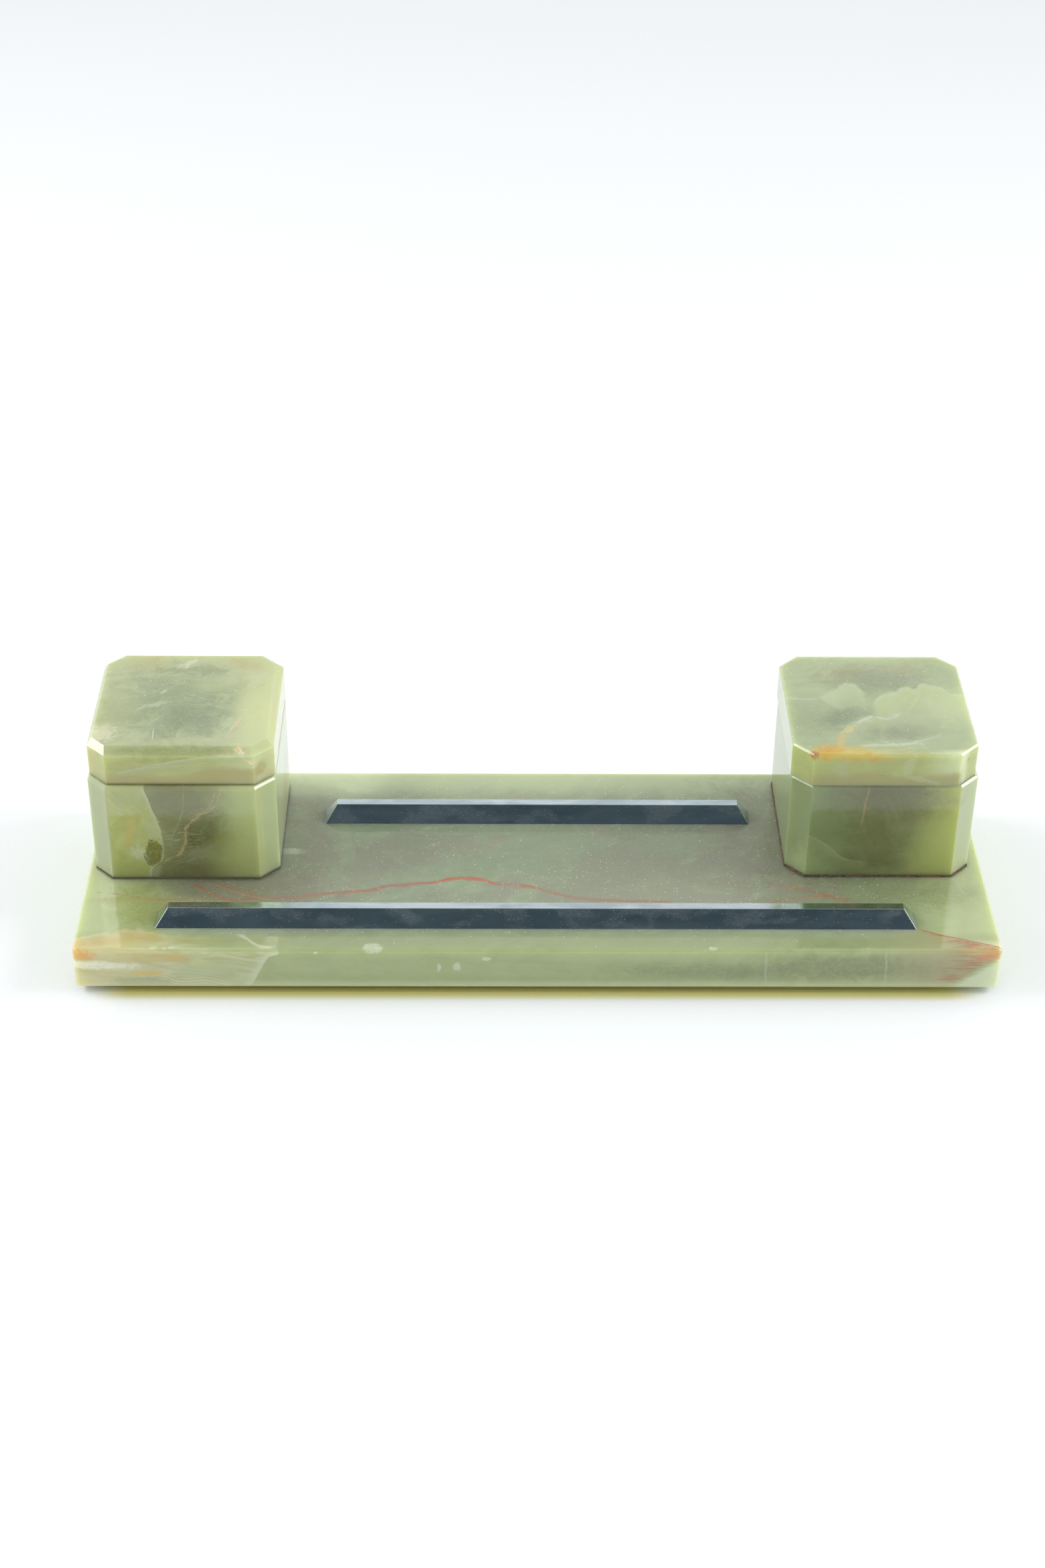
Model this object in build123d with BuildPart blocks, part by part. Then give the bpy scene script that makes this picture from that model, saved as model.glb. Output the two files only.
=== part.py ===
from build123d import *
import os
from dataclasses import dataclass
from math import radians, sqrt, tan

# A desk stand for ink and pens: a long onyx slab on a baize pad, two cut-corner onyx wells
# with hinged lids and glass ink pots, and two chromed bars that keep pens from rolling.
# X runs along the slab, the front faces -Y, and the stand rests on the XY plane.

# ------------------------------------------------------------------ slab and pad, mm
slab_length = 305.0
slab_depth = 103.0
slab_thickness = 16.0
slab_edge_round = 1.2
slab_corner_round = 1.6
baize_thickness = 2.0
baize_inset = 8.0
baize_corner_round = 3.0

# ------------------------------------------------------------------ wells and lids, mm
well_width = 62.6
well_depth = 61.8
well_height = 37.2
corner_cut = 6.4
arris_round = 0.3
well_top_chamfer = 0.8
well_front_wall = 8.4
well_floor = 6.8
cement_thickness = 0.3
cement_inset = 0.4
left_lid_height = 13.0
right_lid_height = 12.4
lid_side_step = 0.35
lid_recess_gap = 1.0
lid_recess_roof = 1.4

# ------------------------------------------------------------------ glass pot, mm
pot_gap = 0.4
pot_wall = 2.6
pot_floor = 3.4
pot_flange_width = 2.6
pot_flange_thickness = 2.4
pot_lip_height = 1.8
pot_lip_width = 2.2
pot_base_round = 3.0
pot_inside_round = 4.5
pot_lip_round = 0.7
pot_flange_round = 0.5
pot_leaf_wall = 1.2

# ------------------------------------------------------------------ lid hinge, mm
hinge_length = 30.0
hinge_inset = 3.0
barrel_radius = 1.9
pin_radius = 0.9
pin_running_gap = 0.05
pin_head = 0.4
knuckle_gap = 0.15
middle_knuckle = 11.0
leaf_reach = 7.6
leaf_thickness = 1.2
leaf_sink = 0.1
leaf_side_gap = 0.05
barrel_gap = 0.3
lid_open_deg = 100.0
stop_margin_deg = 1.0

# ------------------------------------------------------------------ hinge screws, mm
screw_pitch = 10.0
screw_reach = 4.9
screw_head_radius = 1.7
screw_radius = 0.9
screw_length = 6.0
screw_slot_width = 0.4
screw_slot_depth = 0.4
plug_radius = 1.7
plug_tail = 1.7

# ------------------------------------------------------------------ pen bars, mm
bar_height = 6.0
bar_front_run = 3.2
bar_top_depth = 3.2
bar_back_run = 2.6
bar_end_run = 4.2
bar_arris_round = 0.2
front_bar_end_gap = 26.5
rear_bar_well_gap = 12.0
stud_radius = 1.5
stud_roof = 2.0
stud_end_gap = 30.0
stud_hole_gap = 0.2
stud_tail = 0.8
nut_across_flats = 5.5
nut_height = 2.4
washer_radius = 3.6
washer_thickness = 0.5
washer_bore_gap = 0.1
washer_side_gap = 0.8
stud_foot_gap = 1.3


@dataclass
class Well:
    """One inkwell: its gaps to the slab's end and back, and how its own hand-ground lid sits."""

    name: str
    end: int
    end_gap: float
    back_gap: float
    lid_height: float
    lid_shift: float
    lid_set_back: float
    bevel_height: float
    bevel_front: float
    bevel_left: float
    bevel_right: float
    bevel_back: float


@dataclass
class PenBar:
    """One pen bar: its length, how far its middle is off the slab's, and its gap to the front."""

    name: str
    length: float
    centre_x: float
    front_gap: float


left_well = Well("left", -1, 2.5, 2.8, left_lid_height, 0.2, 1.9, 1.6, 4.0, 1.4, 2.5, 1.6)
right_well = Well("right", 1, 5.0, 0.7, right_lid_height, -0.8, 0.4, 0.6, 0.6, 0.6, 0.6, 0.6)
wells = [left_well, right_well]
between_wells = slab_length - left_well.end_gap - right_well.end_gap - 2 * well_width
pen_bars = [
    PenBar("front", slab_length - 2 * front_bar_end_gap, -0.5, 11.3),
    PenBar("rear", between_wells - 2 * rear_bar_well_gap, 0.6, 71.0),
]

# ------------------------------------------------------------------ levels
slab_bottom = baize_thickness
slab_top = slab_bottom + slab_thickness
well_foot = slab_top + cement_thickness
seam = well_foot + well_height
seat_level = seam - pot_flange_thickness
bore_floor = well_foot + well_floor
counterbore_depth = washer_thickness + nut_height + stud_tail + stud_foot_gap
counterbore_roof = slab_bottom + counterbore_depth

# ------------------------------------------------------------------ sizes that follow
bar_depth = bar_front_run + bar_top_depth + bar_back_run
stud_grip = bar_height - stud_roof
counterbore_radius = washer_radius + washer_side_gap
lid_width = well_width - 2 * lid_side_step
lid_recess_depth = pot_lip_height + lid_recess_roof
leaf_room = hinge_inset + leaf_reach + leaf_side_gap + pot_leaf_wall
seat_radius = (well_depth - well_front_wall - leaf_room) / 2
pot_flange_radius = seat_radius - pot_gap
pot_outer_radius = pot_flange_radius - pot_flange_width
pot_inner_radius = pot_outer_radius - pot_wall
stop_slope = tan(radians((lid_open_deg + stop_margin_deg) / 2))


def centre_x(well):
    return well.end * (slab_length / 2 - well.end_gap - well_width / 2)


def back_y(well):
    return slab_depth / 2 - well.back_gap


def front_y(well):
    return back_y(well) - well_depth


def hinge_y(well):
    return back_y(well) - hinge_inset


def pot_y(well):
    return front_y(well) + well_front_wall + seat_radius


def bar_y(bar):
    return bar.front_gap - slab_depth / 2 + bar_depth / 2


def stud_pitch(bar):
    return bar.length - 2 * stud_end_gap


def cut_corner_plan(left, right, front, back, cuts):
    """Corners of a rectangle cut at 45 degrees: front left, front right, back right, back left."""
    front_left, front_right, back_right, back_left = cuts
    return [
        (left + front_left, front),
        (right - front_right, front),
        (right, front + front_right),
        (right, back - back_right),
        (right - back_right, back),
        (left + back_left, back),
        (left, back - back_left),
        (left, front + front_left),
    ]


def screw_planes(well, away):
    """Planes on a leaf's seam face, one per screw. away is -1 for the body's leaf, 1 for the lid's."""
    face = seam + away * leaf_sink
    y = hinge_y(well) - screw_reach
    places = [centre_x(well) + step * screw_pitch for step in (-1, 0, 1)]
    return [Plane((x, y, face), x_dir=(1, 0, 0), z_dir=(0, 0, -away)) for x in places]


def knuckle_spans(away):
    """Ends of each leaf's knuckles along the pin, from the hinge's middle."""
    if away > 0:
        return [(-middle_knuckle / 2, middle_knuckle / 2)]
    inner = middle_knuckle / 2 + knuckle_gap
    return [(-hinge_length / 2, -inner), (inner, hinge_length / 2)]


def cylinder_along_x(well, span, radius, mode):
    """A cylinder on the hinge's axis in the part that is open, from span[0] to span[1]."""
    start = Plane((centre_x(well) + span[0], hinge_y(well), seam), z_dir=(1, 0, 0))
    with Locations(start):
        Cylinder(radius, span[1] - span[0], align=(Align.CENTER, Align.CENTER, Align.MIN), mode=mode)


def cut_for_hinge(well, away):
    """Cut the stop bevel, the barrel's channel, the leaf's bed and the plug holes into the stone."""
    run = hinge_inset + well.lid_set_back + well_top_chamfer
    drop = away * run * stop_slope
    y = hinge_y(well)
    half_width = well_width
    with BuildSketch(Plane.YZ.offset(centre_x(well) - half_width)) as wedge:
        Polygon((y, seam), (y + run, seam), (y + run, seam + drop), align=None)
    extrude(wedge.sketch, amount=2 * half_width, mode=Mode.SUBTRACT)
    reach = hinge_length / 2 + pin_head + barrel_gap
    cylinder_along_x(well, (-reach, reach), barrel_radius + barrel_gap, Mode.SUBTRACT)
    bed_width = hinge_length + 2 * leaf_side_gap
    bed_reach = leaf_reach + leaf_side_gap
    with BuildSketch(Plane.XY.offset(seam)) as bed:
        with Locations((centre_x(well), y - bed_reach / 2)):
            Rectangle(bed_width, bed_reach)
    extrude(bed.sketch, amount=away * (leaf_thickness + leaf_sink), mode=Mode.SUBTRACT)
    with Locations(*screw_planes(well, away)):
        Hole(plug_radius, screw_length + plug_tail)


# ------------------------------------------------------------------ slab and pad


def make_slab():
    """The onyx slab, with eased edges and a counterbored hole under each pen bar's studs."""
    with BuildPart() as slab:
        with BuildSketch(Plane.XY.offset(slab_bottom)):
            RectangleRounded(slab_length, slab_depth, slab_corner_round)
        extrude(amount=slab_thickness)
        fillet(slab.edges().group_by(Axis.Z)[-1], slab_edge_round)
        fillet(slab.edges().group_by(Axis.Z)[0], slab_edge_round)
        for bar in pen_bars:
            under = Plane((bar.centre_x, bar_y(bar), slab_bottom), x_dir=(1, 0, 0), z_dir=(0, 0, -1))
            with Locations(under):
                with GridLocations(stud_pitch(bar), 0, 2, 1):
                    CounterBoreHole(
                        stud_radius + stud_hole_gap,
                        counterbore_radius,
                        counterbore_depth,
                        slab_thickness,
                    )
    return slab.part


def make_baize():
    """The baize pad glued under the slab, short of its edges all round."""
    with BuildPart() as baize:
        with BuildSketch():
            RectangleRounded(
                slab_length - 2 * baize_inset,
                slab_depth - 2 * baize_inset,
                baize_corner_round,
            )
        extrude(amount=baize_thickness)
    return baize.part


# ------------------------------------------------------------------ pen bars


def make_bar(bar):
    """A bar with a flat top and four sloping faces, like a hipped roof, tapped from below."""
    top_y = bar_y(bar) + (bar_front_run - bar_back_run) / 2
    with BuildPart() as rest:
        with BuildSketch(Plane.XY.offset(slab_top)):
            with Locations((bar.centre_x, bar_y(bar))):
                Rectangle(bar.length, bar_depth)
        with BuildSketch(Plane.XY.offset(slab_top + bar_height)):
            with Locations((bar.centre_x, top_y)):
                Rectangle(bar.length - 2 * bar_end_run, bar_top_depth)
        loft(ruled=True)
        foot = rest.edges().group_by(Axis.Z)[0]
        fillet(rest.edges() - foot, bar_arris_round)
        under = Plane((bar.centre_x, bar_y(bar), slab_top), x_dir=(1, 0, 0), z_dir=(0, 0, -1))
        with Locations(under):
            with GridLocations(stud_pitch(bar), 0, 2, 1):
                Hole(stud_radius, stud_grip)
    return rest.part


def make_studs(bar):
    """Two studs, from below the nuts up into the bar."""
    foot = counterbore_roof - washer_thickness - nut_height - stud_tail
    with BuildPart() as studs:
        with BuildSketch(Plane.XY.offset(foot)):
            with Locations((bar.centre_x, bar_y(bar))):
                with GridLocations(stud_pitch(bar), 0, 2, 1):
                    Circle(stud_radius)
        extrude(amount=slab_top + stud_grip - foot)
    return studs.part


def make_washers(bar):
    """Two washers against the counterbores' roofs."""
    with BuildPart() as washers:
        with BuildSketch(Plane.XY.offset(counterbore_roof - washer_thickness)):
            with Locations((bar.centre_x, bar_y(bar))):
                with GridLocations(stud_pitch(bar), 0, 2, 1):
                    Circle(washer_radius)
                    Circle(stud_radius + washer_bore_gap, mode=Mode.SUBTRACT)
        extrude(amount=washer_thickness)
    return washers.part


def make_nuts(bar):
    """Two hexagon nuts that pull the bar down on the slab."""
    with BuildPart() as nuts:
        with BuildSketch(Plane.XY.offset(counterbore_roof - washer_thickness - nut_height)):
            with Locations((bar.centre_x, bar_y(bar))):
                with GridLocations(stud_pitch(bar), 0, 2, 1):
                    RegularPolygon(nut_across_flats / 2, 6, major_radius=False)
                    Circle(stud_radius, mode=Mode.SUBTRACT)
        extrude(amount=nut_height)
    return nuts.part


# ------------------------------------------------------------------ wells


def make_cement(well):
    """The thin bed of cement between a well and the slab."""
    left = centre_x(well) - well_width / 2 + cement_inset
    right = centre_x(well) + well_width / 2 - cement_inset
    front = front_y(well) + cement_inset
    back = back_y(well) - cement_inset
    with BuildPart() as cement:
        with BuildSketch(Plane.XY.offset(slab_top)):
            Polygon(*cut_corner_plan(left, right, front, back, [corner_cut] * 4), align=None)
        extrude(amount=cement_thickness)
    return cement.part


def make_well_body(well):
    """A solid onyx block with cut corners, bored for the pot and cut away for the hinge."""
    left = centre_x(well) - well_width / 2
    right = centre_x(well) + well_width / 2
    with BuildPart() as body:
        with BuildSketch(Plane.XY.offset(well_foot)):
            plan = cut_corner_plan(left, right, front_y(well), back_y(well), [corner_cut] * 4)
            Polygon(*plan, align=None)
        extrude(amount=well_height)
        chamfer(body.edges().group_by(Axis.Z)[-1], well_top_chamfer)
        foot = body.edges().group_by(Axis.Z)[0]
        fillet(body.edges() - foot, arris_round)
        with Locations((centre_x(well), pot_y(well), seam)):
            CounterBoreHole(
                pot_outer_radius + pot_gap,
                seat_radius,
                pot_flange_thickness,
                seam - bore_floor,
            )
        cut_for_hinge(well, -1)
    return body.part


def make_pot(well):
    """The glass ink pot: a round cup that hangs in the well by its flange."""
    bottom = bore_floor + pot_gap
    lip_outer = pot_inner_radius + pot_lip_width
    axis_plane = Plane((centre_x(well), pot_y(well), 0), x_dir=(1, 0, 0), z_dir=(0, -1, 0))
    with BuildPart() as pot:
        with BuildSketch(axis_plane) as profile:
            with BuildLine():
                Polyline(
                    (0, bottom),
                    (pot_outer_radius, bottom),
                    (pot_outer_radius, seat_level),
                    (pot_flange_radius, seat_level),
                    (pot_flange_radius, seam),
                    (lip_outer, seam),
                    (lip_outer, seam + pot_lip_height),
                    (pot_inner_radius, seam + pot_lip_height),
                    (pot_inner_radius, bottom + pot_floor),
                    (0, bottom + pot_floor),
                    close=True,
                )
            make_face()
            levels = profile.vertices().group_by(Axis.Y)
            fillet(levels[0].sort_by(Axis.X)[-1], pot_base_round)
            fillet(levels[1].sort_by(Axis.X)[-1], pot_inside_round)
            fillet(levels[-2].sort_by(Axis.X)[-1], pot_flange_round)
            fillet(levels[-1], pot_lip_round)
        revolve(axis=Axis((centre_x(well), pot_y(well), 0), (0, 0, 1)))
    return pot.part


def make_lid(well):
    """A thick onyx lid: its top edges are bevelled by hand, so each side has its own run."""
    middle = centre_x(well) + well.lid_shift
    left = middle - lid_width / 2
    right = middle + lid_width / 2
    front = front_y(well) + well.lid_set_back
    back = front + well_depth
    lid_top = seam + well.lid_height
    bevel_foot = lid_top - well.bevel_height
    # A cut corner's own bevel runs in by the mean of its two neighbours.
    shrink = 1 - 1 / sqrt(2)
    top_cuts = [
        corner_cut - shrink * (well.bevel_left + well.bevel_front),
        corner_cut - shrink * (well.bevel_right + well.bevel_front),
        corner_cut - shrink * (well.bevel_right + well.bevel_back),
        corner_cut - shrink * (well.bevel_left + well.bevel_back),
    ]
    top_plan = cut_corner_plan(
        left + well.bevel_left,
        right - well.bevel_right,
        front + well.bevel_front,
        back - well.bevel_back,
        top_cuts,
    )
    recess_radius = pot_inner_radius + pot_lip_width + lid_recess_gap
    with BuildPart() as lid:
        with BuildSketch(Plane.XY.offset(seam)):
            Polygon(*cut_corner_plan(left, right, front, back, [corner_cut] * 4), align=None)
        extrude(amount=well.lid_height - well.bevel_height)
        with BuildSketch(Plane.XY.offset(bevel_foot)):
            Polygon(*cut_corner_plan(left, right, front, back, [corner_cut] * 4), align=None)
        with BuildSketch(Plane.XY.offset(lid_top)):
            Polygon(*top_plan, align=None)
        loft(ruled=True)
        foot = lid.edges().group_by(Axis.Z)[0]
        fillet(lid.edges() - foot, arris_round / 2)
        with BuildSketch(Plane.XY.offset(seam)) as recess:
            with Locations((centre_x(well), pot_y(well))):
                Circle(recess_radius)
        extrude(recess.sketch, amount=lid_recess_depth, mode=Mode.SUBTRACT)
        cut_for_hinge(well, 1)
    return lid.part


# ------------------------------------------------------------------ hinges


def make_leaf(well, away):
    """A brass leaf let into the stone, with its own knuckles. away is -1 for the body, 1 for the lid."""
    face = seam + away * leaf_sink
    y = hinge_y(well)
    bore = pin_radius + (pin_running_gap if away > 0 else 0)
    with BuildPart() as leaf:
        with BuildSketch(Plane.XY.offset(face)):
            with Locations((centre_x(well), y - leaf_reach / 2)):
                Rectangle(hinge_length, leaf_reach)
        extrude(amount=away * leaf_thickness)
        for span in knuckle_spans(-away):
            room = (span[0] - knuckle_gap, span[1] + knuckle_gap)
            cylinder_along_x(well, room, barrel_radius + barrel_gap, Mode.SUBTRACT)
        for span in knuckle_spans(away):
            cylinder_along_x(well, span, barrel_radius, Mode.ADD)
            cylinder_along_x(well, span, bore, Mode.SUBTRACT)
        with Locations(*screw_planes(well, away)):
            CounterSinkHole(screw_radius, screw_head_radius, leaf_thickness, 90)
    return leaf.part


def make_pin(well):
    """The brass pin, tight in the body leaf's knuckles and free in the lid leaf's."""
    reach = hinge_length / 2 + pin_head
    with BuildPart() as pin:
        cylinder_along_x(well, (-reach, reach), pin_radius, Mode.ADD)
        fillet(pin.edges().filter_by(GeomType.CIRCLE), pin_head)
    return pin.part


def make_screws(well, away):
    """Three slotted countersunk screws, heads flush with the leaf."""
    head_depth = screw_head_radius - screw_radius
    top = (Align.CENTER, Align.CENTER, Align.MAX)
    with BuildPart() as screws:
        with Locations(*screw_planes(well, away)):
            Cone(screw_radius, screw_head_radius, head_depth, align=top)
            Cylinder(screw_radius, screw_length, align=top)
            Box(3 * screw_head_radius, screw_slot_width, screw_slot_depth, align=top, mode=Mode.SUBTRACT)
    return screws.part


def make_plugs(well, away):
    """Lead plugs cast in the stone, that the screws bite into."""
    with BuildPart() as plugs:
        for plane in screw_planes(well, away):
            with BuildSketch(plane.offset(-leaf_thickness)):
                Circle(plug_radius)
                Circle(screw_radius, mode=Mode.SUBTRACT)
            extrude(amount=-(screw_length - leaf_thickness))
            with BuildSketch(plane.offset(-screw_length)):
                Circle(plug_radius)
            extrude(amount=-plug_tail)
    return plugs.part


# ------------------------------------------------------------------ write one file per piece
pieces = {"base_slab": make_slab(), "baize_pad": make_baize()}
for bar in pen_bars:
    pieces[bar.name + "_pen_bar"] = make_bar(bar)
    pieces[bar.name + "_bar_studs"] = make_studs(bar)
    pieces[bar.name + "_bar_washers"] = make_washers(bar)
    pieces[bar.name + "_bar_nuts"] = make_nuts(bar)
for well in wells:
    pieces[well.name + "_well_cement"] = make_cement(well)
    pieces[well.name + "_well_body"] = make_well_body(well)
    pieces[well.name + "_ink_pot"] = make_pot(well)
    pieces[well.name + "_lid"] = make_lid(well)
    pieces[well.name + "_hinge_pin"] = make_pin(well)
    for away, place in ((-1, "body"), (1, "lid")):
        pieces[f"{well.name}_{place}_leaf"] = make_leaf(well, away)
        pieces[f"{well.name}_{place}_screws"] = make_screws(well, away)
        pieces[f"{well.name}_{place}_plugs"] = make_plugs(well, away)

os.makedirs("parts", exist_ok=True)
for name, piece in pieces.items():
    piece.label = name
    export_step(piece, f"parts/{name}.step")
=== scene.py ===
from math import radians

import bpy
from mathutils import Euler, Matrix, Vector


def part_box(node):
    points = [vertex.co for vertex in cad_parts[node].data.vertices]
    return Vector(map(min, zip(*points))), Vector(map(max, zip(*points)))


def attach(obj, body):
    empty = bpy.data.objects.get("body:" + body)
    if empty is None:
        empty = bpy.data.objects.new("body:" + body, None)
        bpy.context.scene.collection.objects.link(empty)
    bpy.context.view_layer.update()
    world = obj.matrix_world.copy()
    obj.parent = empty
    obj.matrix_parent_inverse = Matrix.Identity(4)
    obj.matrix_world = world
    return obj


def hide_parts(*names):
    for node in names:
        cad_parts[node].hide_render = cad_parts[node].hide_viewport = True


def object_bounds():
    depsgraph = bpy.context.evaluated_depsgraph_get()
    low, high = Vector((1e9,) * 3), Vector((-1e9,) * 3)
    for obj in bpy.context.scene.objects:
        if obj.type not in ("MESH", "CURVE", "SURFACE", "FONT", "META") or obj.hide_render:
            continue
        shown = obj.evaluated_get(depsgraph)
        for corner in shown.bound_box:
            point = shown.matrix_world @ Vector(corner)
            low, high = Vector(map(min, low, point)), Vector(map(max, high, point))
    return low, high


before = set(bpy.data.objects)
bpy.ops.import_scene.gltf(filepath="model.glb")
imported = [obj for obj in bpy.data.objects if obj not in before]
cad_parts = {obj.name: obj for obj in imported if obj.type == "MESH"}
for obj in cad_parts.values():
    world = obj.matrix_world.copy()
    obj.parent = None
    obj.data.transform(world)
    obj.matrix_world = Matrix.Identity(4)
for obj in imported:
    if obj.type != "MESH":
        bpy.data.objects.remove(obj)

cad_low, cad_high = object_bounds()

# -------------------- baize pad
# A pad of thick olive wool baize, cut with shears and glued under the slab, short of its edges.
# Its cut edge is soft and a little uneven, and its face has a short matted nap.


def start_piece():
    """Leave edit mode and deselect everything, so that the next operator acts on its own piece."""
    if bpy.context.mode != "OBJECT":
        bpy.ops.object.mode_set(mode="OBJECT")
    bpy.ops.object.select_all(action="DESELECT")


def add_block(name, low, high):
    """Add a cube from one corner to the other, with its place in its mesh."""
    start_piece()
    bpy.ops.mesh.primitive_cube_add(size=1, location=(low + high) / 2, scale=high - low)
    block = bpy.context.object
    block.name = block.data.name = name
    bpy.ops.object.transform_apply(location=True, rotation=True, scale=True)
    return block


def pick(piece, kind, wanted):
    """Go into edit mode and select the edges or faces for which wanted is true."""
    bpy.ops.object.mode_set(mode="EDIT")
    bpy.ops.mesh.select_mode(type=kind)
    bpy.ops.mesh.select_all(action="DESELECT")
    bpy.ops.object.mode_set(mode="OBJECT")
    if kind == "EDGE":
        for edge in piece.data.edges:
            start, end = [piece.data.vertices[i].co for i in edge.vertices]
            edge.select = wanted(start, end)
    else:
        for face in piece.data.polygons:
            face.select = wanted(face.center, face.normal)
    bpy.ops.object.mode_set(mode="EDIT")


same_place = 1e-6


def upright(start, end):
    """True for an edge that stands straight up."""
    return abs(start.x - end.x) < same_place and abs(start.y - end.y) < same_place


def displace(piece, name, direction, strength, size):
    """Push the piece's points along one axis by a soft cloud pattern, and apply it."""
    pattern = bpy.data.textures.new(name, "CLOUDS")
    pattern.noise_scale = size
    pattern.noise_depth = 3
    push = piece.modifiers.new(name, "DISPLACE")
    push.texture = pattern
    push.texture_coords = "LOCAL"
    push.direction = direction
    push.strength = strength
    bpy.ops.object.modifier_apply(modifier=push.name)


class Bench:
    """Adds shader nodes to one node tree. Each call gives back the new node's output."""

    def __init__(self, tree):
        self.tree = tree

    def put(self, kind, inputs=(), output=0, **settings):
        node = self.tree.nodes.new("ShaderNode" + kind)
        for setting, value in settings.items():
            setattr(node, setting, value)
        self.feed(node.inputs, dict(inputs))
        return node.outputs[output]

    def feed(self, sockets, sources):
        """Link or set the sockets, by name or number."""
        for name, source in sources.items():
            if isinstance(source, bpy.types.NodeSocket):
                self.tree.links.new(source, sockets[name])
            else:
                sockets[name].default_value = source

    def group(self, tree, **inputs):
        """Put in a node group at the bench's place, with its other sockets given by name."""
        node = self.tree.nodes.new("ShaderNodeGroup")
        node.node_tree = tree
        self.feed(node.inputs, {"Place": self.place})
        self.feed(node.inputs, {name.capitalize(): source for name, source in inputs.items()})
        return node.outputs[0]

    def math(self, operation, *terms):
        return self.put("Math", enumerate(terms), operation=operation)

    def times(self, first, second):
        return self.math("MULTIPLY", first, second)

    def plus(self, first, second):
        return self.math("ADD", first, second)

    def minus(self, first, second):
        return self.math("SUBTRACT", first, second)

    def vector(self, operation, *terms):
        output = 1 if operation in ("LENGTH", "DOT_PRODUCT") else 0
        return self.put("VectorMath", enumerate(terms), output, operation=operation)

    def axes(self, vector):
        return list(self.put("SeparateXYZ", {0: vector}).node.outputs)

    def fade(self, value, start, end, low=0, high=1):
        """Rise smoothly from low to high as value goes from start to end."""
        inputs = {0: value, 1: start, 2: end, 3: low, 4: high}
        return self.put("MapRange", inputs, interpolation_type="SMOOTHSTEP")

    def layer(self, mask, under, over, mode="MIX"):
        """Lay one colour over another where the mask is 1."""
        under, over = [(*c, 1) if isinstance(c, tuple) else c for c in (under, over)]
        return self.put("Mix", {0: mask, 6: under, 7: over}, 2, data_type="RGBA", blend_type=mode)

    def noise(self, scale, detail, roughness=0.5, distortion=0, at=None):
        """Plain noise at the bench's place, or at another."""
        spread = {"Scale": scale, "Detail": detail, "Roughness": roughness, "Distortion": distortion}
        return self.put("TexNoise", {0: at or self.place, **spread})

    def framed(self, middle, turn, size):
        """The bench's place, seen from a frame with its own middle, turn and half widths."""
        return self.put("Mapping", {0: self.place, 1: middle, 2: turn, 3: size}, vector_type="TEXTURE")

    def clouds(self, size, detail, warp, turn=(0, 0, 0), middle=(0, 0, 0)):
        """Soft clouds, of a size in mm along each axis."""
        return self.group(mottle, turn=turn, size=size, middle=middle, detail=detail, warp=warp)


def new_group(name, vectors, values, results):
    """Start a node group from the names of its sockets. Gives it, its bench and its input sockets.

    Its first input is its place, which its bench keeps."""
    tree = bpy.data.node_groups.new(name, "ShaderNodeTree")
    for kind, names in (("Vector", ["Place"] + vectors), ("Float", values)):
        for socket in names:
            tree.interface.new_socket(socket, in_out="INPUT", socket_type="NodeSocket" + kind)
    for socket in results:
        tree.interface.new_socket(socket, in_out="OUTPUT", socket_type="NodeSocketFloat")
    bench = Bench(tree)
    sockets = tree.nodes.new("NodeGroupInput").outputs
    bench.place = sockets["Place"]
    return tree, bench, [sockets[name] for name in vectors + values]


def close_group(tree, *results):
    """Wire a node group's results to its outputs."""
    end = tree.nodes.new("NodeGroupOutput")
    for result, socket in zip(results, end.inputs):
        tree.links.new(result, socket)


mottle, bench, (turn, size, middle, detail, warp) = new_group(
    "mottle", ["Turn", "Size", "Middle"], ["Detail", "Warp"], ["Value"]
)
cloud = bench.noise(1, detail, 0.55, warp, bench.framed(middle, turn, size))
close_group(mottle, bench.fade(cloud, 0.3, 0.7))

millimetres = 1000


class Finish(Bench):
    """The bench for one material. Its place is in millimetres from the origin."""

    def __init__(self, name):
        self.material = bpy.data.materials.new(name)
        self.material.use_nodes = True
        super().__init__(self.material.node_tree)
        self.place = self.vector("SCALE", self.put("TexCoord", output=3))
        self.place.node.inputs["Scale"].default_value = millimetres

    def wire(self, **sources):
        """Link or set the shader's inputs, named with underscores for spaces."""
        shader = self.tree.nodes["Principled BSDF"]
        self.feed(shader.inputs, {name.replace("_", " "): source for name, source in sources.items()})

    def bump(self, height, depth):
        """Turn a height from 0 to 1 into a normal, for a relief of that depth in metres."""
        return self.put("Bump", {"Height": height, "Distance": depth, "Strength": 1})

    def cover(self, piece):
        """Put the material on every slot of a piece, or of a CAD node given by its name."""
        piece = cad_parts.get(piece, piece)
        if not piece.data.materials:
            piece.data.materials.append(self.material)
        for i in range(len(piece.data.materials)):
            piece.data.materials[i] = self.material


pad_low, pad_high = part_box("baize_pad")
pad = add_block("olive_baize_pad", pad_low, pad_high)
corner_radius = 0.003
pick(pad, "EDGE", upright)
bpy.ops.mesh.bevel(offset=corner_radius, segments=6)
rim_radius = 0.0003
pick(pad, "EDGE", lambda start, end: abs(start.z - end.z) < same_place)
bpy.ops.mesh.bevel(offset=rim_radius, segments=2)
for axis, spacing in ((Vector((1, 0, 0)), 0.0015), (Vector((0, 1, 0)), 0.0015), (Vector((0, 0, 1)), 0.0005)):
    cut = pad_low + axis * spacing
    while cut.dot(axis) < pad_high.dot(axis) - spacing / 2:
        bpy.ops.mesh.select_all(action="SELECT")
        bpy.ops.mesh.bisect(plane_co=cut, plane_no=axis)
        cut = cut + axis * spacing
bpy.ops.object.mode_set(mode="OBJECT")
unevenness = 0.0006
snip = 0.004
displace(pad, "shear_cut_x", "X", unevenness, snip)
displace(pad, "shear_cut_y", "Y", unevenness, snip)
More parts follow.
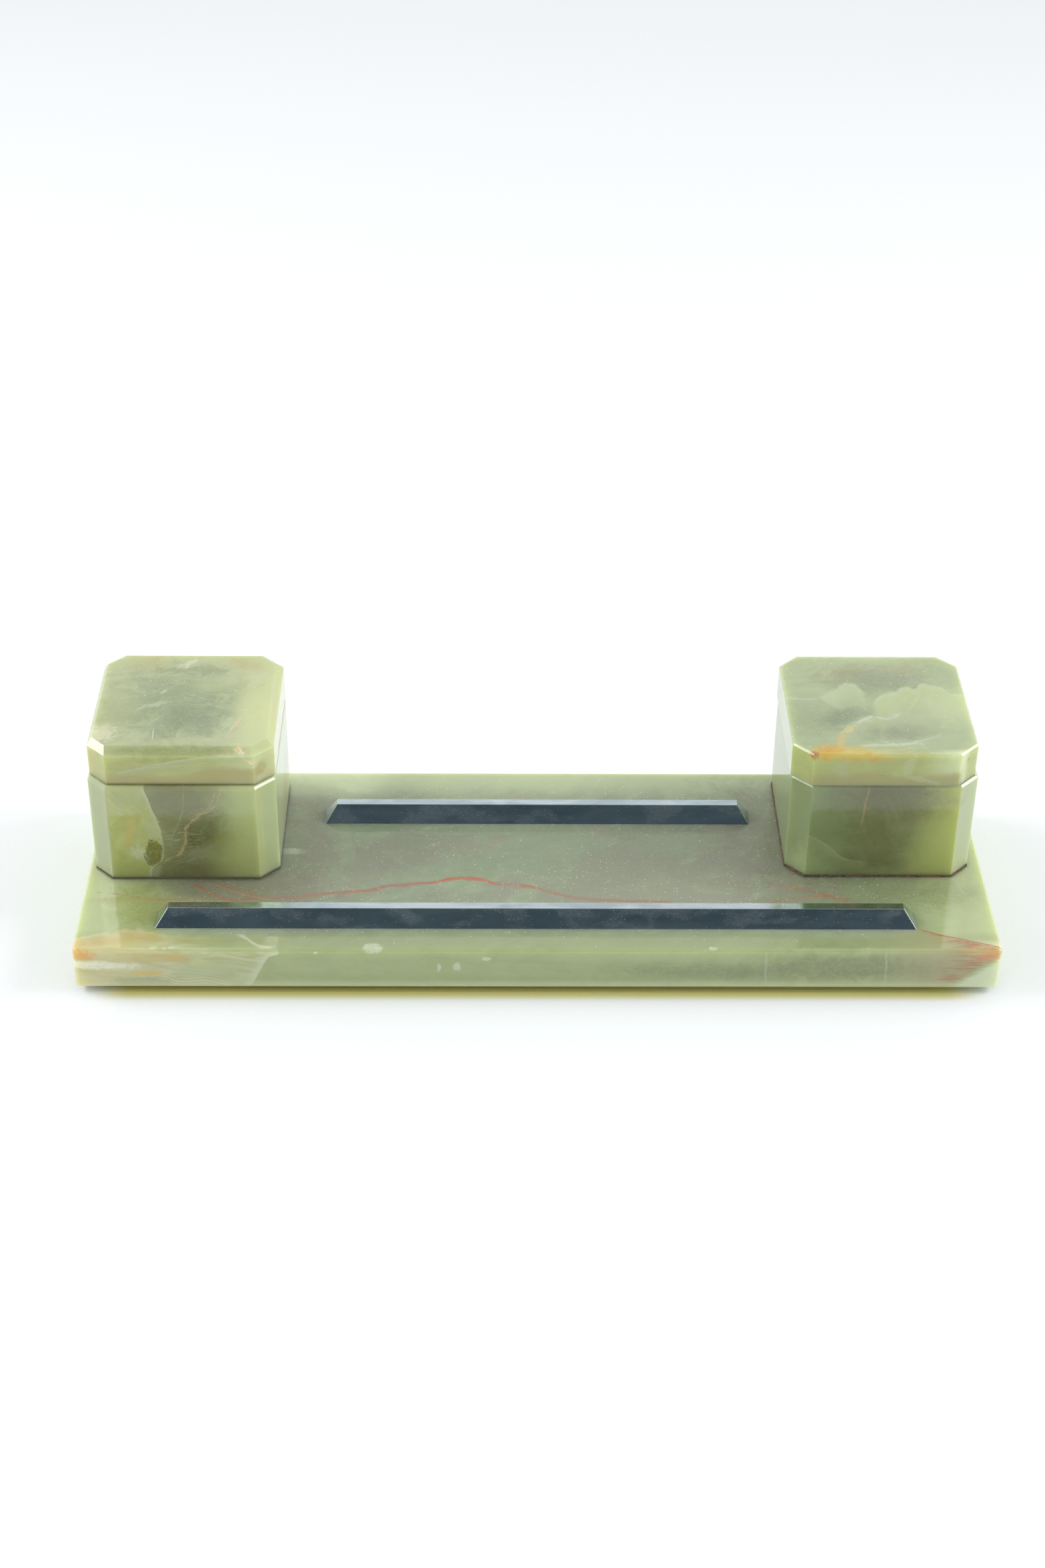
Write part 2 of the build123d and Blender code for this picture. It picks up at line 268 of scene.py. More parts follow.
bpy.ops.object.shade_smooth_by_angle(angle=radians(50))

baize = Finish("olive_baize")
tufts = baize.clouds((0.5, 0.35, 0.4), 4, 1.5)
felting = baize.clouds((9, 6, 6), 3, 0.4)
wool = baize.layer(tufts, (0.075, 0.095, 0.028), (0.21, 0.235, 0.085))
wool = baize.layer(baize.times(felting, 0.35), wool, (0.2, 0.2, 0.1))
baize.wire(Base_Color=wool, Roughness=0.95, Specular_IOR_Level=0.2, Sheen_Weight=0.4)
baize.wire(Normal=baize.bump(tufts, 0.0003))
baize.cover(pad)
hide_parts("baize_pad")
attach(pad, "stand")

# -------------------- slab
# A slab of polished green onyx, sawn across the stone's layers. The stone is translucent, and its ends,
# edges and front are painted paler for the light that comes through it. Rust runs in from old cracks,
# and house dust lies on its top.

inclusion, bench, (middle, turn, size, ragged, soft, grit) = new_group(
    "inclusion", ["Middle", "Turn", "Size"], ["Ragged", "Soft", "Grit"], ["Mask"]
)
reach = bench.vector("LENGTH", bench.framed(middle, turn, size))
scaled = bench.vector("SCALE", bench.place)
bench.tree.links.new(grit, scaled.node.inputs["Scale"])
rag = bench.noise(1.6, 6, 0.68, 0.6, scaled)
rag = bench.times(bench.minus(rag, 0.5), bench.times(ragged, 4.5))
reach = bench.plus(reach, rag)
mask = bench.fade(reach, bench.plus(1, soft), bench.minus(1, soft))
patchy = bench.noise(0.9, 5, 0.7, 0.8)
close_group(inclusion, bench.times(mask, bench.fade(patchy, 0.3, 0.6, 0.55, 1)))

vein, bench, (offset, width, wander, broken) = new_group(
    "vein", [], ["Offset", "Width", "Wander", "Broken"], ["Mask"]
)
slow = bench.noise(0.14, 2)
quick = bench.noise(0.9, 3)
sway = bench.plus(bench.minus(slow, 0.5), bench.times(bench.minus(quick, 0.5), 0.45))
line = bench.math("ABSOLUTE", bench.plus(offset, bench.times(sway, bench.times(wander, 3))))
core = bench.fade(line, width, 0)
gaps = bench.noise(0.35, 4, 0.7)
gaps = bench.fade(gaps, bench.minus(broken, 0.12), bench.plus(broken, 0.12))
close_group(vein, bench.times(core, gaps))

feathers, bench, (middle, turn, size, fineness) = new_group(
    "feathers", ["Middle", "Turn", "Size"], ["Fineness"], ["Mask"]
)
framed = bench.framed(middle, turn, size)
reach = bench.vector("LENGTH", framed)
strands = bench.noise(fineness, 6, 0.62, 0.9, bench.vector("MULTIPLY", framed, (1, 6, 6)))
close_group(feathers, bench.times(bench.fade(strands, 0.47, 0.66), bench.fade(reach, 1, 0.2)))

dust, bench, (film, specks) = new_group("dust", [], ["Film", "Specks"], ["Film", "Flecks"])
up = bench.fade(bench.axes(bench.put("TexCoord", output=1))[2], 0.3, 0.9)
drift = bench.noise(0.05, 6, 0.6, 0.5)
drift = bench.times(bench.fade(drift, 0.42, 0.56, 0.25, 1), film)
grain = bench.noise(1.7, 3, 0.85)
drift = bench.times(drift, bench.fade(grain, 0.34, 0.66, 0.45, 1))
flecks = bench.put("TexVoronoi", {"Vector": bench.place, "Scale": 0.95})
chosen = bench.axes(flecks.node.outputs["Color"])[0]
near = bench.fade(flecks, 0.34, 0.15)
flecks = bench.times(near, bench.fade(chosen, bench.minus(1, specks), 1.02))
close_group(dust, bench.times(drift, up), bench.times(flecks, up))

polish, bench, [gloss] = new_group("polish", [], ["Gloss"], ["Roughness", "Height"])
smears = bench.clouds((14, 8, 8), 4, 1)
fine = bench.clouds((0.5, 0.5, 0.5), 3, 0)
ripple = bench.clouds((7, 7, 7), 1, 0)
rough = bench.plus(bench.plus(gloss, bench.times(smears, 0.05)), bench.times(fine, 0.02))
close_group(polish, rough, bench.plus(bench.times(ripple, 0.8), bench.times(fine, 0.2)))


class Stone(Finish):
    """The bench for one piece of onyx. Its place is from the node's middle, and it keeps the colour so far.

    A share is how much a mark covers, from 0 to 1. Middles and sizes, which are half widths, are in mm.
    """

    def __init__(self, name, node, pale, middling, deep, front_light_tint=(1, 1, 1)):
        """Start with clouds, thin layers and stray wisps, and painted light on the front: front faces are
        multiplied by the front light tint, brighter where light comes through the stone.
        """
        super().__init__(name)
        self.node = node
        low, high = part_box(node)
        self.place = self.vector("SUBTRACT", self.place, tuple((low + high) / 2 * millimetres))
        broad = self.clouds((44, 26, 24), 4, 0.8, (0, 0.1, 0.25))
        patch = self.clouds((13, 8, 7), 6, 1.6, (0.1, -0.1, 0.3), (31, 7, 3))
        layers = self.clouds((36, 9, 1.5), 5, 0.3, (0.05, 0.04, 0.1), (5, 0, 2))
        self.colour = self.layer(broad, deep, middling)
        self.lay(patch, pale, 0.5)
        self.lay(layers, pale, 0.25)
        self.wisp(pale, 0.35, (0, 0, 0), (160, 60, 60), 4, (0, 0, 0.2))
        # Painted light: faces that look forward are tinted brighter, for light coming through the stone.
        front_light_mask = self.fade(self.axes(self.put("TexCoord", output=1))[1], -0.3, -0.9)
        self.colour = self.layer(front_light_mask, self.colour, front_light_tint, "MULTIPLY")

    def lay(self, mask, paint, share=None):
        """Lay a colour over the stone where the mask is 1."""
        if share is not None:
            mask = self.times(mask, share)
        self.colour = self.layer(mask, self.colour, paint)

    def patch(self, middle, size, ragged=0.4, soft=0.4, turn=(0, 0, 0)):
        """The mask of an uneven ellipsoid. A small one has a finer edge."""
        grit = 0.1 if max(size) > 6.5 else 0.4
        shape = {"middle": middle, "turn": turn, "size": size}
        return self.group(inclusion, **shape, ragged=ragged, soft=soft, grit=grit)

    def blot(self, paint, share, middle, size, ragged=0.4, soft=0.4, turn=(0, 0, 0)):
        """Lay one patch of colour."""
        self.lay(self.patch(middle, size, ragged, soft, turn), paint, share)

    def blots(self, *rows):
        for row in rows:
            self.blot(*row)

    def wisp(self, paint, share, middle, size, fineness=1.5, turn=(0, 0, 0)):
        """Lay fine strands of colour, all one way, inside an ellipsoid."""
        mask = self.group(feathers, middle=middle, turn=turn, size=size, fineness=fineness)
        self.lay(mask, paint, share)

    def wisps(self, *rows):
        for row in rows:
            self.wisp(*row)

    def path(self, along, points):
        """A smooth curve through points (distance along, value), read at the distance given."""
        starts = [point[0] for point in points]
        values = [point[1] for point in points]
        first, last, low, high = min(starts), max(starts), min(values), max(values)
        share = self.put("MapRange", {0: along, 1: first, 2: last})
        read = self.put("FloatCurve", {1: share})
        curve = read.node.mapping.curves[0]
        spots = [((x - first) / (last - first), (v - low) / (high - low)) for x, v in points]
        curve.points[0].location = spots[0]
        curve.points[1].location = spots[-1]
        for spot in spots[1:-1]:
            curve.points.new(*spot)
        read.node.mapping.update()
        return self.put("MapRange", {0: read, 3: low, 4: high})

    def taper(self, mask, along, points, length):
        """Fade a mask out at both ends of a line."""
        first, last = points[0][0], points[-1][0]
        mask = self.times(mask, self.fade(along, first - 0.5, first + length))
        return self.times(mask, self.fade(along, last + 0.5, last - length))

    def torn(self, paint, share, along, across, points, reach, tear=2, sharp=0.3, within=1):
        """Lay colour on the lower side of a torn line, crisp at the line and fading over reach."""
        gap = self.minus(across, self.path(along, points))
        rag = self.noise(0.4, 5, 0.6)
        gap = self.plus(gap, self.times(self.minus(rag, 0.5), tear))
        gap = self.math("DIVIDE", gap, -reach)
        crisp = sharp / reach
        mask = self.times(self.fade(gap, -crisp, crisp), self.fade(gap, 1, 0.1))
        self.lay(self.times(self.taper(mask, along, points, 2), within), paint, share)

    def thread(self, paint, share, along, across, points, width, wander=0.4, broken=0.36, within=1):
        """Draw a thin vein of colour along a line."""
        offset = self.minus(across, self.path(along, points))
        mask = self.group(vein, offset=offset, width=width, wander=wander, broken=broken)
        self.lay(self.times(self.taper(mask, along, points, 3), within), paint, share)

    def finish(self, film=0.1, specks=0.05, dust_colour=(0.5, 0.5, 0.4)):
        """Polish the stone, let some dust settle on it and put the material on its node."""
        gloss = self.group(polish, gloss=0.03)
        height = gloss.node.outputs["Height"]
        settled = self.group(dust, film=film, specks=specks)
        flecks = settled.node.outputs["Flecks"]
        self.lay(settled, dust_colour)
        self.lay(flecks, (0.66, 0.62, 0.5), 0.8)
        gloss = self.plus(gloss, self.times(self.math("MAXIMUM", settled, flecks), 0.5))
        self.wire(Base_Color=self.colour, Roughness=gloss, IOR=1.66, Normal=self.bump(height, 0.000012))
        self.wire(Subsurface_Weight=0.85, Subsurface_Radius=(1, 1, 0.6), Subsurface_Scale=0.009)
        self.cover(self.node)


pale, middling, deep = (0.4, 0.47, 0.3), (0.32, 0.39, 0.235), (0.24, 0.31, 0.18)
# The slab's front faces are painted brighter, for light coming through the stone.
stone = Stone("slab_onyx", "base_slab", pale, middling, deep, front_light_tint=(1.46, 1.38, 1.2))
x, y, z = stone.axes(stone.place)
on_top = stone.fade(z, 6, 7.5)
on_front = stone.fade(y, -49.5, -51)

# Painted light: the ends, the back and the back left corner are painted paler, for light coming through the
# thin translucent stone there. The top dulls to grey between the wells.
lit_ends = stone.fade(stone.math("ABSOLUTE", x), 104, 150)
stone.lay(lit_ends, (0.55, 0.61, 0.32), 0.85)
stone.lay(stone.fade(y, 33, 46), (0.5, 0.57, 0.34), 0.85)
stone.lay(stone.fade(y, -40, -46), (0.36, 0.405, 0.19), 0.6)
lit_back_left = stone.times(stone.fade(y, 30, 40), stone.fade(x, -46, -66))
stone.lay(lit_back_left, (0.64, 0.71, 0.46), 0.8)

# The darker patches beside and round the feet of the wells are partly dust and partly painted shade and
# reflection of the wells' dark faces.
# Each row of blots gives paint, share, middle, size, ragged, soft and turn.
stone.blots(
    ((0.22, 0.28, 0.164), 0.7, (10, 4, 8), (76, 17, 9), 0.4, 0.5),
    ((0.19, 0.21, 0.109), 0.7, (-80, 2, 8), (9, 30, 9), 0.4, 0.7),
    ((0.18, 0.18, 0.1), 0.8, (82, 8, 8), (20, 34, 9), 0.4, 0.7, (0, 0, 0.15)),
    ((0.2, 0.19, 0.109), 0.75, (-104, -18, 8), (26, 8, 9), 0.4, 0.6),
    ((0.24, 0.28, 0.137), 0.75, (118, -20, 8), (24, 10, 9), 0.4, 0.8),
    ((0.3, 0.35, 0.1), 0.85, (-131, -29, 8), (9, 12, 9), 0.4, 0.8, (0, 0, 0.1)),
    ((0.43, 0.35, 0.146), 0.5, (-124, -25, 8), (20, 1.6, 4), 0.4, 0.8),
    ((0.22, 0.25, 0.118), 0.75, (100, -52, 1), (30, 6, 5), 0.4, 0.7),
    ((0.21, 0.25, 0.127), 0.6, (56, -52, -1), (36, 6, 3.4), 0.4, 0.7, (0, 0.03, 0)),
    ((0.33, 0.39, 0.2), 0.6, (4, -52, -5.5), (60, 4, 2.6), 0.4, 0.8),
)
for lift, length in ((4.4, 60), (1.4, 70), (-6, 80)):
    stone.wisp((0.46, 0.53, 0.36), 0.5, (30, -51, lift), (length, 4, 2.2), fineness=2.5)

# The left end: honey layers behind a slanting face where two crystals meet.
slant = [(-8, -95.5), (-3.3, -92.5), (1, -90.5), (4.9, -88.3), (6.4, -85), (8, -85.5)]
left_of_slant = stone.fade(stone.minus(x, stone.path(z, slant)), 0.3, -0.6)
honey_line = [(-153, -45.5), (-142, -42.5), (-133, -41), (-124, -43.5), (-112, -44.5), (-96, -44)]
honey_edge = stone.path(x, honey_line)
honey_rag = stone.noise(0.3, 5, 0.65)
honey_edge = stone.plus(honey_edge, stone.times(stone.minus(honey_rag, 0.5), 5))
honey = stone.fade(stone.minus(y, honey_edge), 1.2, -1.2)
honey = stone.times(honey, left_of_slant)
on_left_corner = stone.math("MAXIMUM", stone.fade(x, -100, -124, 0.3, 1), stone.fade(z, 7.6, 6.6))
honey = stone.times(honey, on_left_corner)
honey_clouds = stone.clouds((15, 6, 3.2), 6, 1.4, turn=(0, 0.1, 0.15))
honey_tone = stone.layer(honey_clouds, (0.46, 0.46, 0.22), (0.58, 0.61, 0.4))
honey_tone = stone.layer(stone.fade(x, -112, -140, 0, 0.45), honey_tone, (0.76, 0.65, 0.36))
stone.lay(honey, honey_tone, 0.85)
# Honey, orange and white patches at the left end.
stone.blots(
    ((0.54, 0.42, 0.155), 0.6, (-131, -44.5, 8), (7, 2.6, 2.4), 0.4, 0.6, (0, 0, -0.2)),
    ((0.58, 0.44, 0.164), 0.7, (-143, -47.5, 7), (11, 2.6, 2.6), 0.4, 0.7, (0, 0, 0.12)),
    ((0.7, 0.38, 0.091), 0.95, (-150.5, -50.5, 5.6), (5, 3, 2), 0.4, 0.6, (0, 0.05, 0)),
    ((0.42, 0.42, 0.155), 0.4, (-118, -46, 8), (9, 2.2, 2), 0.4, 0.7),
    ((0.6, 0.4, 0.146), 0.75, (-119, -52, 4.2), (5, 3, 1.3), 0.7, 0.6, (0, 0.15, 0)),
    ((0.54, 0.46, 0.182), 0.7, (-128, -52, 4.5), (9, 3, 2), 0.4, 0.8),
    ((0.8, 0.8, 0.64), 0.95, (-146, -52, 1.4), (14, 3, 1.5), 0.4, 0.5, (0, 0.03, 0)),
    ((0.56, 0.59, 0.273), 0.85, (-111, -52, 2.4), (3.4, 3, 1.3), 0.4, 0.6),
    ((0.68, 0.5, 0.127), 0.95, (-128.6, -52, -2.1), (5.6, 1.5, 0.75), 0.4, 0.5, (0, 0.02, 0)),
    ((0.37, 0.39, 0.228), 0.85, (-129, -52, -6), (9, 3, 2.3), 0.4, 0.5, (0, 0.05, 0)),
    ((0.7, 0.5, 0.146), 0.8, (-150.5, -52, -6), (5, 3, 0.8), 0.4, 0.6),
    ((0.46, 0.52, 0.282), 0.7, (-106, -52, -2), (9, 3, 4.5), 0.4, 0.8),
)
# Each row of wisps gives paint, share, middle, size, fineness and turn.
stone.wisps(
    ((0.66, 0.64, 0.437), 0.8, (-142, -51.5, 1.2), (20, 3, 2.6), 1.5, (0, 0.02, 0)),
    ((0.62, 0.6, 0.382), 0.7, (-133, -51.5, -3.6), (14, 3, 1.8), 1.5, (0, 0.1, 0)),
    ((0.6, 0.56, 0.328), 0.6, (-136, -47, 8), (17, 4, 3), 1.3, (0, 0, 0.15)),
    ((0.52, 0.4, 0.164), 0.6, (-124, -51.5, 5.5), (18, 3, 2.4), 1.5, (0, 0.05, 0)),
)
seam = [(-126, -2.4), (-122, -3.4), (-116.8, -5.6), (-110.9, -4.9), (-104, -6.2), (-99, -8)]
for lift, share in ((0, 0.85), (1.2, 0.5), (-1.2, 0.45)):
    lifted = stone.minus(z, lift)
    stone.thread((0.66, 0.64, 0.44), share, x, lifted, seam, 0.5, 0.4, 0.3, on_front)
stone.torn((0.6, 0.65, 0.46), 0.75, z, x, slant, 4, 1.6, 0.25, stone.fade(y, -42.5, -44.5))
white_hook = [(-100, -43.5), (-97, -45), (-93, -48.5), (-89, -50.5), (-86, -49.5)]
stone.thread((0.66, 0.7, 0.54), 0.7, x, y, white_hook, 1.3, 0.6, 0.2, on_top)

# The right end: a crack from the bar's end to the corner, with rust on its front side.
crack = stone.vector("DOT_PRODUCT", stone.place, (0.345, 0.84, -0.419))
streaks = stone.noise(1, 6, 0.75, at=stone.vector("MULTIPLY", stone.place, (0.12, 0.5, 1.6)))
crack = stone.plus(stone.minus(crack, 6.5), stone.times(stone.minus(streaks, 0.5), 3))
haze = stone.times(stone.fade(crack, 0.4, -0.6), stone.fade(x, 106, 138))
stone.lay(haze, (0.4, 0.34, 0.22), 0.5)
rust = stone.times(stone.fade(crack, -8, 0), stone.fade(crack, 0.5, -0.3))
rust = stone.times(rust, stone.fade(streaks, 0.42, 0.62))
rust = stone.times(rust, stone.fade(x, 122, 142))
stone.lay(rust, (0.44, 0.15, 0.07), 0.85)
stone.blot((0.66, 0.4, 0.18), 0.75, (150, -51, 6), (6.5, 4, 2.6), 0.7, 0.8, (0, 0.1, 0))
stone.wisp((0.6, 0.22, 0.08), 0.8, (148, -51, 5), (9, 4, 2.6), 1.6, (0, 0.08, 0))
clear = stone.times(stone.fade(crack, 0.2, 1.4), stone.fade(x, 112, 136))
clear = stone.times(clear, stone.fade(y, -44, -50))
stone.lay(clear, (0.66, 0.72, 0.52), 0.85)

# Rust threads along the top: one long meander and its branches at both ends.
rust_red = (0.47, 0.125, 0.05)
long_meander = [
    (-117, -14.5), (-112, -19), (-106.9, -22.6), (-102, -24.6), (-94, -24.2), (-84.2, -23.4), (-73, -21.2),
    (-58.7, -19.5), (-46, -16), (-36, -15), (-25.6, -12.4), (-14, -15), (-3.6, -16.6), (6, -20.5),
    (16.5, -24), (28, -24.6), (46, -26),
]
upper_branch = [(-110, -14.6), (-105, -17.6), (-100, -20.1), (-95, -22.5), (-88, -23.8)]
faint_left = [(-150, -20), (-137, -22.5), (-127, -24.6), (-114, -24.2), (-102, -25)]
upper_right = [(78, -14.6), (84, -16.6), (90, -18.4), (97.4, -21.4), (105, -25.6)]
lower_right = [(76, -25.8), (83, -24.4), (89.6, -22.8), (98, -22.4), (106, -26)]
crack_top = [(125.6, -39.9), (132.7, -43), (139, -45.2), (144.8, -47.2), (150.4, -49.2), (153, -51)]
beside = stone.plus(y, 0.8)
threads = [
    (rust_red, 0.95, y, long_meander, 1.2, 0.7, 0.27),
    ((0.5, 0.17, 0.08), 0.8, beside, long_meander, 0.7, 1.1, 0.4),
    (rust_red, 0.9, y, upper_branch, 1.3, 0.6, 0.33),
    ((0.55, 0.38, 0.14), 0.8, beside, upper_branch, 0.9, 0.9, 0.4),
    (rust_red, 0.5, y, faint_left, 0.6, 0.5, 0.5),
    (rust_red, 0.85, y, upper_right, 1.1, 0.8, 0.36),
    (rust_red, 0.8, y, lower_right, 0.9, 0.8, 0.4),
    (rust_red, 0.9, y, crack_top, 0.45, 0.3, 0.2),
]
for paint, share, across, points, width, wander, broken in threads:
    stone.thread(paint, share, x, across, points, width, wander, broken, on_top)

# Light gathers along the front's lower edge.
low_edge = stone.times(stone.fade(z, -3.5, -7.8), on_front)
stone.lay(low_edge, (0.66, 0.72, 0.47), 0.6)

# Milky blobs, small chips and faint upright hairlines along the front edge.
milky = (0.6, 0.66, 0.5)
blobs = [
    ((-54.2, -50.3, 8), (3.2, 2.2, 1.6)), ((-26.8, -52, 1), (1.3, 1.5, 1.7)),
    ((-32.6, -52, 0.6), (0.7, 1.5, 1.8)), ((57.2, -50.6, 8.2), (1.4, 0.9, 0.8)),
    ((-73, -51.5, 6.6), (0.6, 1, 0.5)), ((-17, -51.5, 4.3), (1.5, 1, 0.8)),
    ((-126, -50.6, 8.2), (1.4, 0.6, 0.8)), ((-122.4, -50.9, 8.2), (0.7, 0.6, 0.8)),
    ((-120, -50.4, 8.2), (1.1, 0.7, 0.8)), ((-85, 3, 8), (6, 1.8, 2)),
    ((-35.5, 7, 8), (0.9, 0.9, 1)),
]
for middle, size in blobs:
    stone.blot(milky, 0.8, middle, size, soft=0.3)
for hairline in (75, 114.6):
    points = [(-8, hairline + 0.4), (0, hairline), (8, hairline - 0.4)]
    stone.thread(milky, 0.3, z, x, points, 0.7, 0.3, 0.4, on_front)

# Dust lies thickest in the middle and round the feet of the wells.
film = stone.fade(stone.math("ABSOLUTE", x), 138, 96, 0.1, 0.85)
film = stone.times(film, stone.fade(y, -46, -36, 0.12, 1))
film = stone.times(film, stone.fade(y, 46, 30, 0.15, 1))
wiped_patches = [
    ((4, 8, 8), (19, 11, 9), (0, 0, 0.4)), ((-62, 16, 8), (14, 5, 9), (0, 0, -0.1)),
    ((-26, 16, 8), (30, 3.4, 9), (0, 0, 0)), ((52, 8, 8), (20, 7, 9), (0, 0, 0.1)),
    ((-26, -8, 8), (30, 6, 9), (0, 0, 0.15)),
]
for middle, size, turn in wiped_patches:
    wiped = stone.patch(middle, size, turn=turn)
    film = stone.times(film, stone.fade(wiped, 0, 1, 1, 0.3))
grey_dust = (0.285, 0.27, 0.205)
stone.finish(film, stone.times(film, 0.6), grey_dust)

# -------------------- pen bars and their fixings
# Two brass bars milled with sloping sides and chromium plated, with dust and old finger marks. Each
# is held down from below by two steel studs, with a washer and a nut in a counterbore of the slab.

chrome = Finish("chromed_bar")
haze = chrome.clouds((26, 8, 8), 5, 0.9)
cloudy = chrome.clouds((12, 7, 7), 2, 0.3, middle=(3, 9, 1))
fine = chrome.clouds((0.35, 0.35, 0.35), 2, 0)
settled = chrome.group(dust, film=0.15, specks=0.4)
motes = chrome.put("TexVoronoi", {"Vector": chrome.place, "Scale": 2.2})
picked = chrome.times(cloudy, 0.3)
picked = chrome.fade(chrome.axes(motes.node.outputs["Color"])[1], chrome.minus(0.95, picked), 1)
motes = chrome.times(chrome.fade(motes, 0.3, 0.15), picked)
grime = chrome.times(chrome.fade(cloudy, 0.2, 1), chrome.fade(fine, 0.1, 0.9, 0.5, 1))
grime = chrome.times(grime, 0.16)
soiled = chrome.math("MAXIMUM", chrome.math("MAXIMUM", settled, grime), chrome.times(motes, 0.6))
plate = chrome.layer(haze, (0.44, 0.53, 0.565), (0.66, 0.735, 0.765))
plate = chrome.layer(soiled, plate, (0.42, 0.42, 0.38))
rough = chrome.plus(chrome.fade(cloudy, 0.2, 0.9, 0.06, 0.13), chrome.times(soiled, 0.5))
metal = chrome.fade(soiled, 0, 0.9, 1, 0.1)
chrome.wire(Base_Color=plate, Metallic=metal, Roughness=rough, Normal=chrome.bump(fine, 0.000004))
for name in ("front_pen_bar", "rear_pen_bar"):
    chrome.cover(name)

steel = Finish("plain_steel")
turned = steel.clouds((0.6, 0.6, 0.15), 3, 0)
tarnish = steel.clouds((2.5, 2.5, 2.5), 5, 0.8)
shade = steel.layer(tarnish, (0.4, 0.4, 0.41), (0.24, 0.21, 0.18))
steel.wire(Base_Color=shade, Metallic=steel.fade(tarnish, 0.5, 1, 1, 0.6))
steel.wire(Roughness=steel.fade(turned, 0, 1, 0.3, 0.5), Normal=steel.bump(turned, 0.00001))
for bar in ("front", "rear"):
    for fixing in ("studs", "washers", "nuts"):
        steel.cover(f"{bar}_bar_{fixing}")

# -------------------- cement beds
# Each well stands in a thin bed of brown cement. What squeezed out was wiped off, but a crumbly
# dark line of it is left round the foot.

cement = Finish("well_cement")
crumbs = cement.clouds((0.7, 0.7, 0.7), 5, 0.5)
stain = cement.clouds((5, 5, 5), 4, 0.8)
shade = cement.layer(crumbs, (0.075, 0.055, 0.03), (0.22, 0.17, 0.095))
shade = cement.layer(cement.fade(stain, 0.62, 0.95), shade, (0.3, 0.13, 0.07))
shade = cement.layer(cement.fade(cement.axes(cement.place)[0], 20, -20, 0, 0.8), shade, (0.15, 0.15, 0.075))
cement.wire(Base_Color=shade, Roughness=0.92, Normal=cement.bump(crumbs, 0.0002))

corner_cut = 0.0064
rise = 0.0005
crumb = 0.0012
for side, proud in (("left", 0.00004), ("right", 0.00016)):
    low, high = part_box(f"{side}_well_body")
    bed_low, bed_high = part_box(f"{side}_well_cement")
    grow = Vector((proud, proud, 0))
    foot_low = Vector((low.x, low.y, bed_low.z)) - grow
    foot_high = Vector((high.x, high.y, bed_high.z + rise)) + grow
    bed = add_block(f"{side}_cement_bed", foot_low, foot_high)
    pick(bed, "EDGE", upright)
    bpy.ops.mesh.bevel(offset=corner_cut, segments=1)
    pick(bed, "FACE", lambda centre, normal: abs(normal.z) < 0.5)
    bpy.ops.mesh.subdivide(number_cuts=50)
    bpy.ops.object.mode_set(mode="OBJECT")
    displace(bed, f"{side}_squeeze_x", "X", proud * 4, crumb)
    displace(bed, f"{side}_squeeze_y", "Y", proud * 4, crumb)
    bpy.ops.object.shade_smooth_by_angle(angle=radians(60))
    cement.cover(bed)
    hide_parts(f"{side}_well_cement")
    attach(bed, "stand")

# -------------------- left well
# A block of onyx with cut corners, bored for its pot. Two crystals meet in a jagged line across
# the front: one is honey green, the other grey and glassy, and pale threads run through it.

pale, middling, deep = (0.37, 0.42, 0.21), (0.27, 0.31, 0.145), (0.2, 0.22, 0.095)
stone = Stone("left_well_onyx", "left_well_body", pale, middling, deep)
x, y, z = stone.axes(stone.place)
face, back, side = -30.9, 30.9, 31.3
on_front = stone.fade(y, -28, -30.5)
boundary = [(-18.6, -12), (-14, -11), (-10, -7.6), (-1.6, -7.4), (4.2, -8.2), (10, -9.8), (19, -12.2)]
tooth = stone.noise(0.4, 5, 0.6)
beside = stone.minus(x, stone.path(z, boundary))
beside = stone.plus(beside, stone.times(stone.minus(tooth, 0.5), 1.6))

# Light comes through the right side, the top and the sides, and the lower middle is deep.
stone.lay(stone.fade(x, 5, 22, 0, 0.85), (0.54, 0.6, 0.27))
stone.lay(stone.fade(x, 23, 30, 0, 0.7), (0.42, 0.49, 0.27))
stone.lay(stone.fade(y, -14, 20, 0, 0.6), (0.46, 0.53, 0.27))
stone.blots(
    ((0.25, 0.25, 0.12), 0.85, (-1, face, 12), (12, 8, 12), 0.4, 0.7),
    ((0.14, 0.14, 0.045), 0.85, (6, face, -4), (8, 8, 10), 0.4, 0.8, (0, 0.2, 0)),
    ((0.2, 0.19, 0.08), 0.85, (1, face, -16), (13, 6, 4.5), 0.4, 0.7),
    ((0.29, 0.29, 0.16), 0.75, (5, face, -8), (6, 4, 3), 0.7, 0.5, (0, -0.5, 0)),
    ((0.24, 0.21, 0.1), 0.6, (-3, face, -8), (4, 4, 3), 0.7, 0.6),
    ((0.46, 0.5, 0.17), 0.6, (18, face, -10), (9, 6, 9), 0.4, 0.8),
)

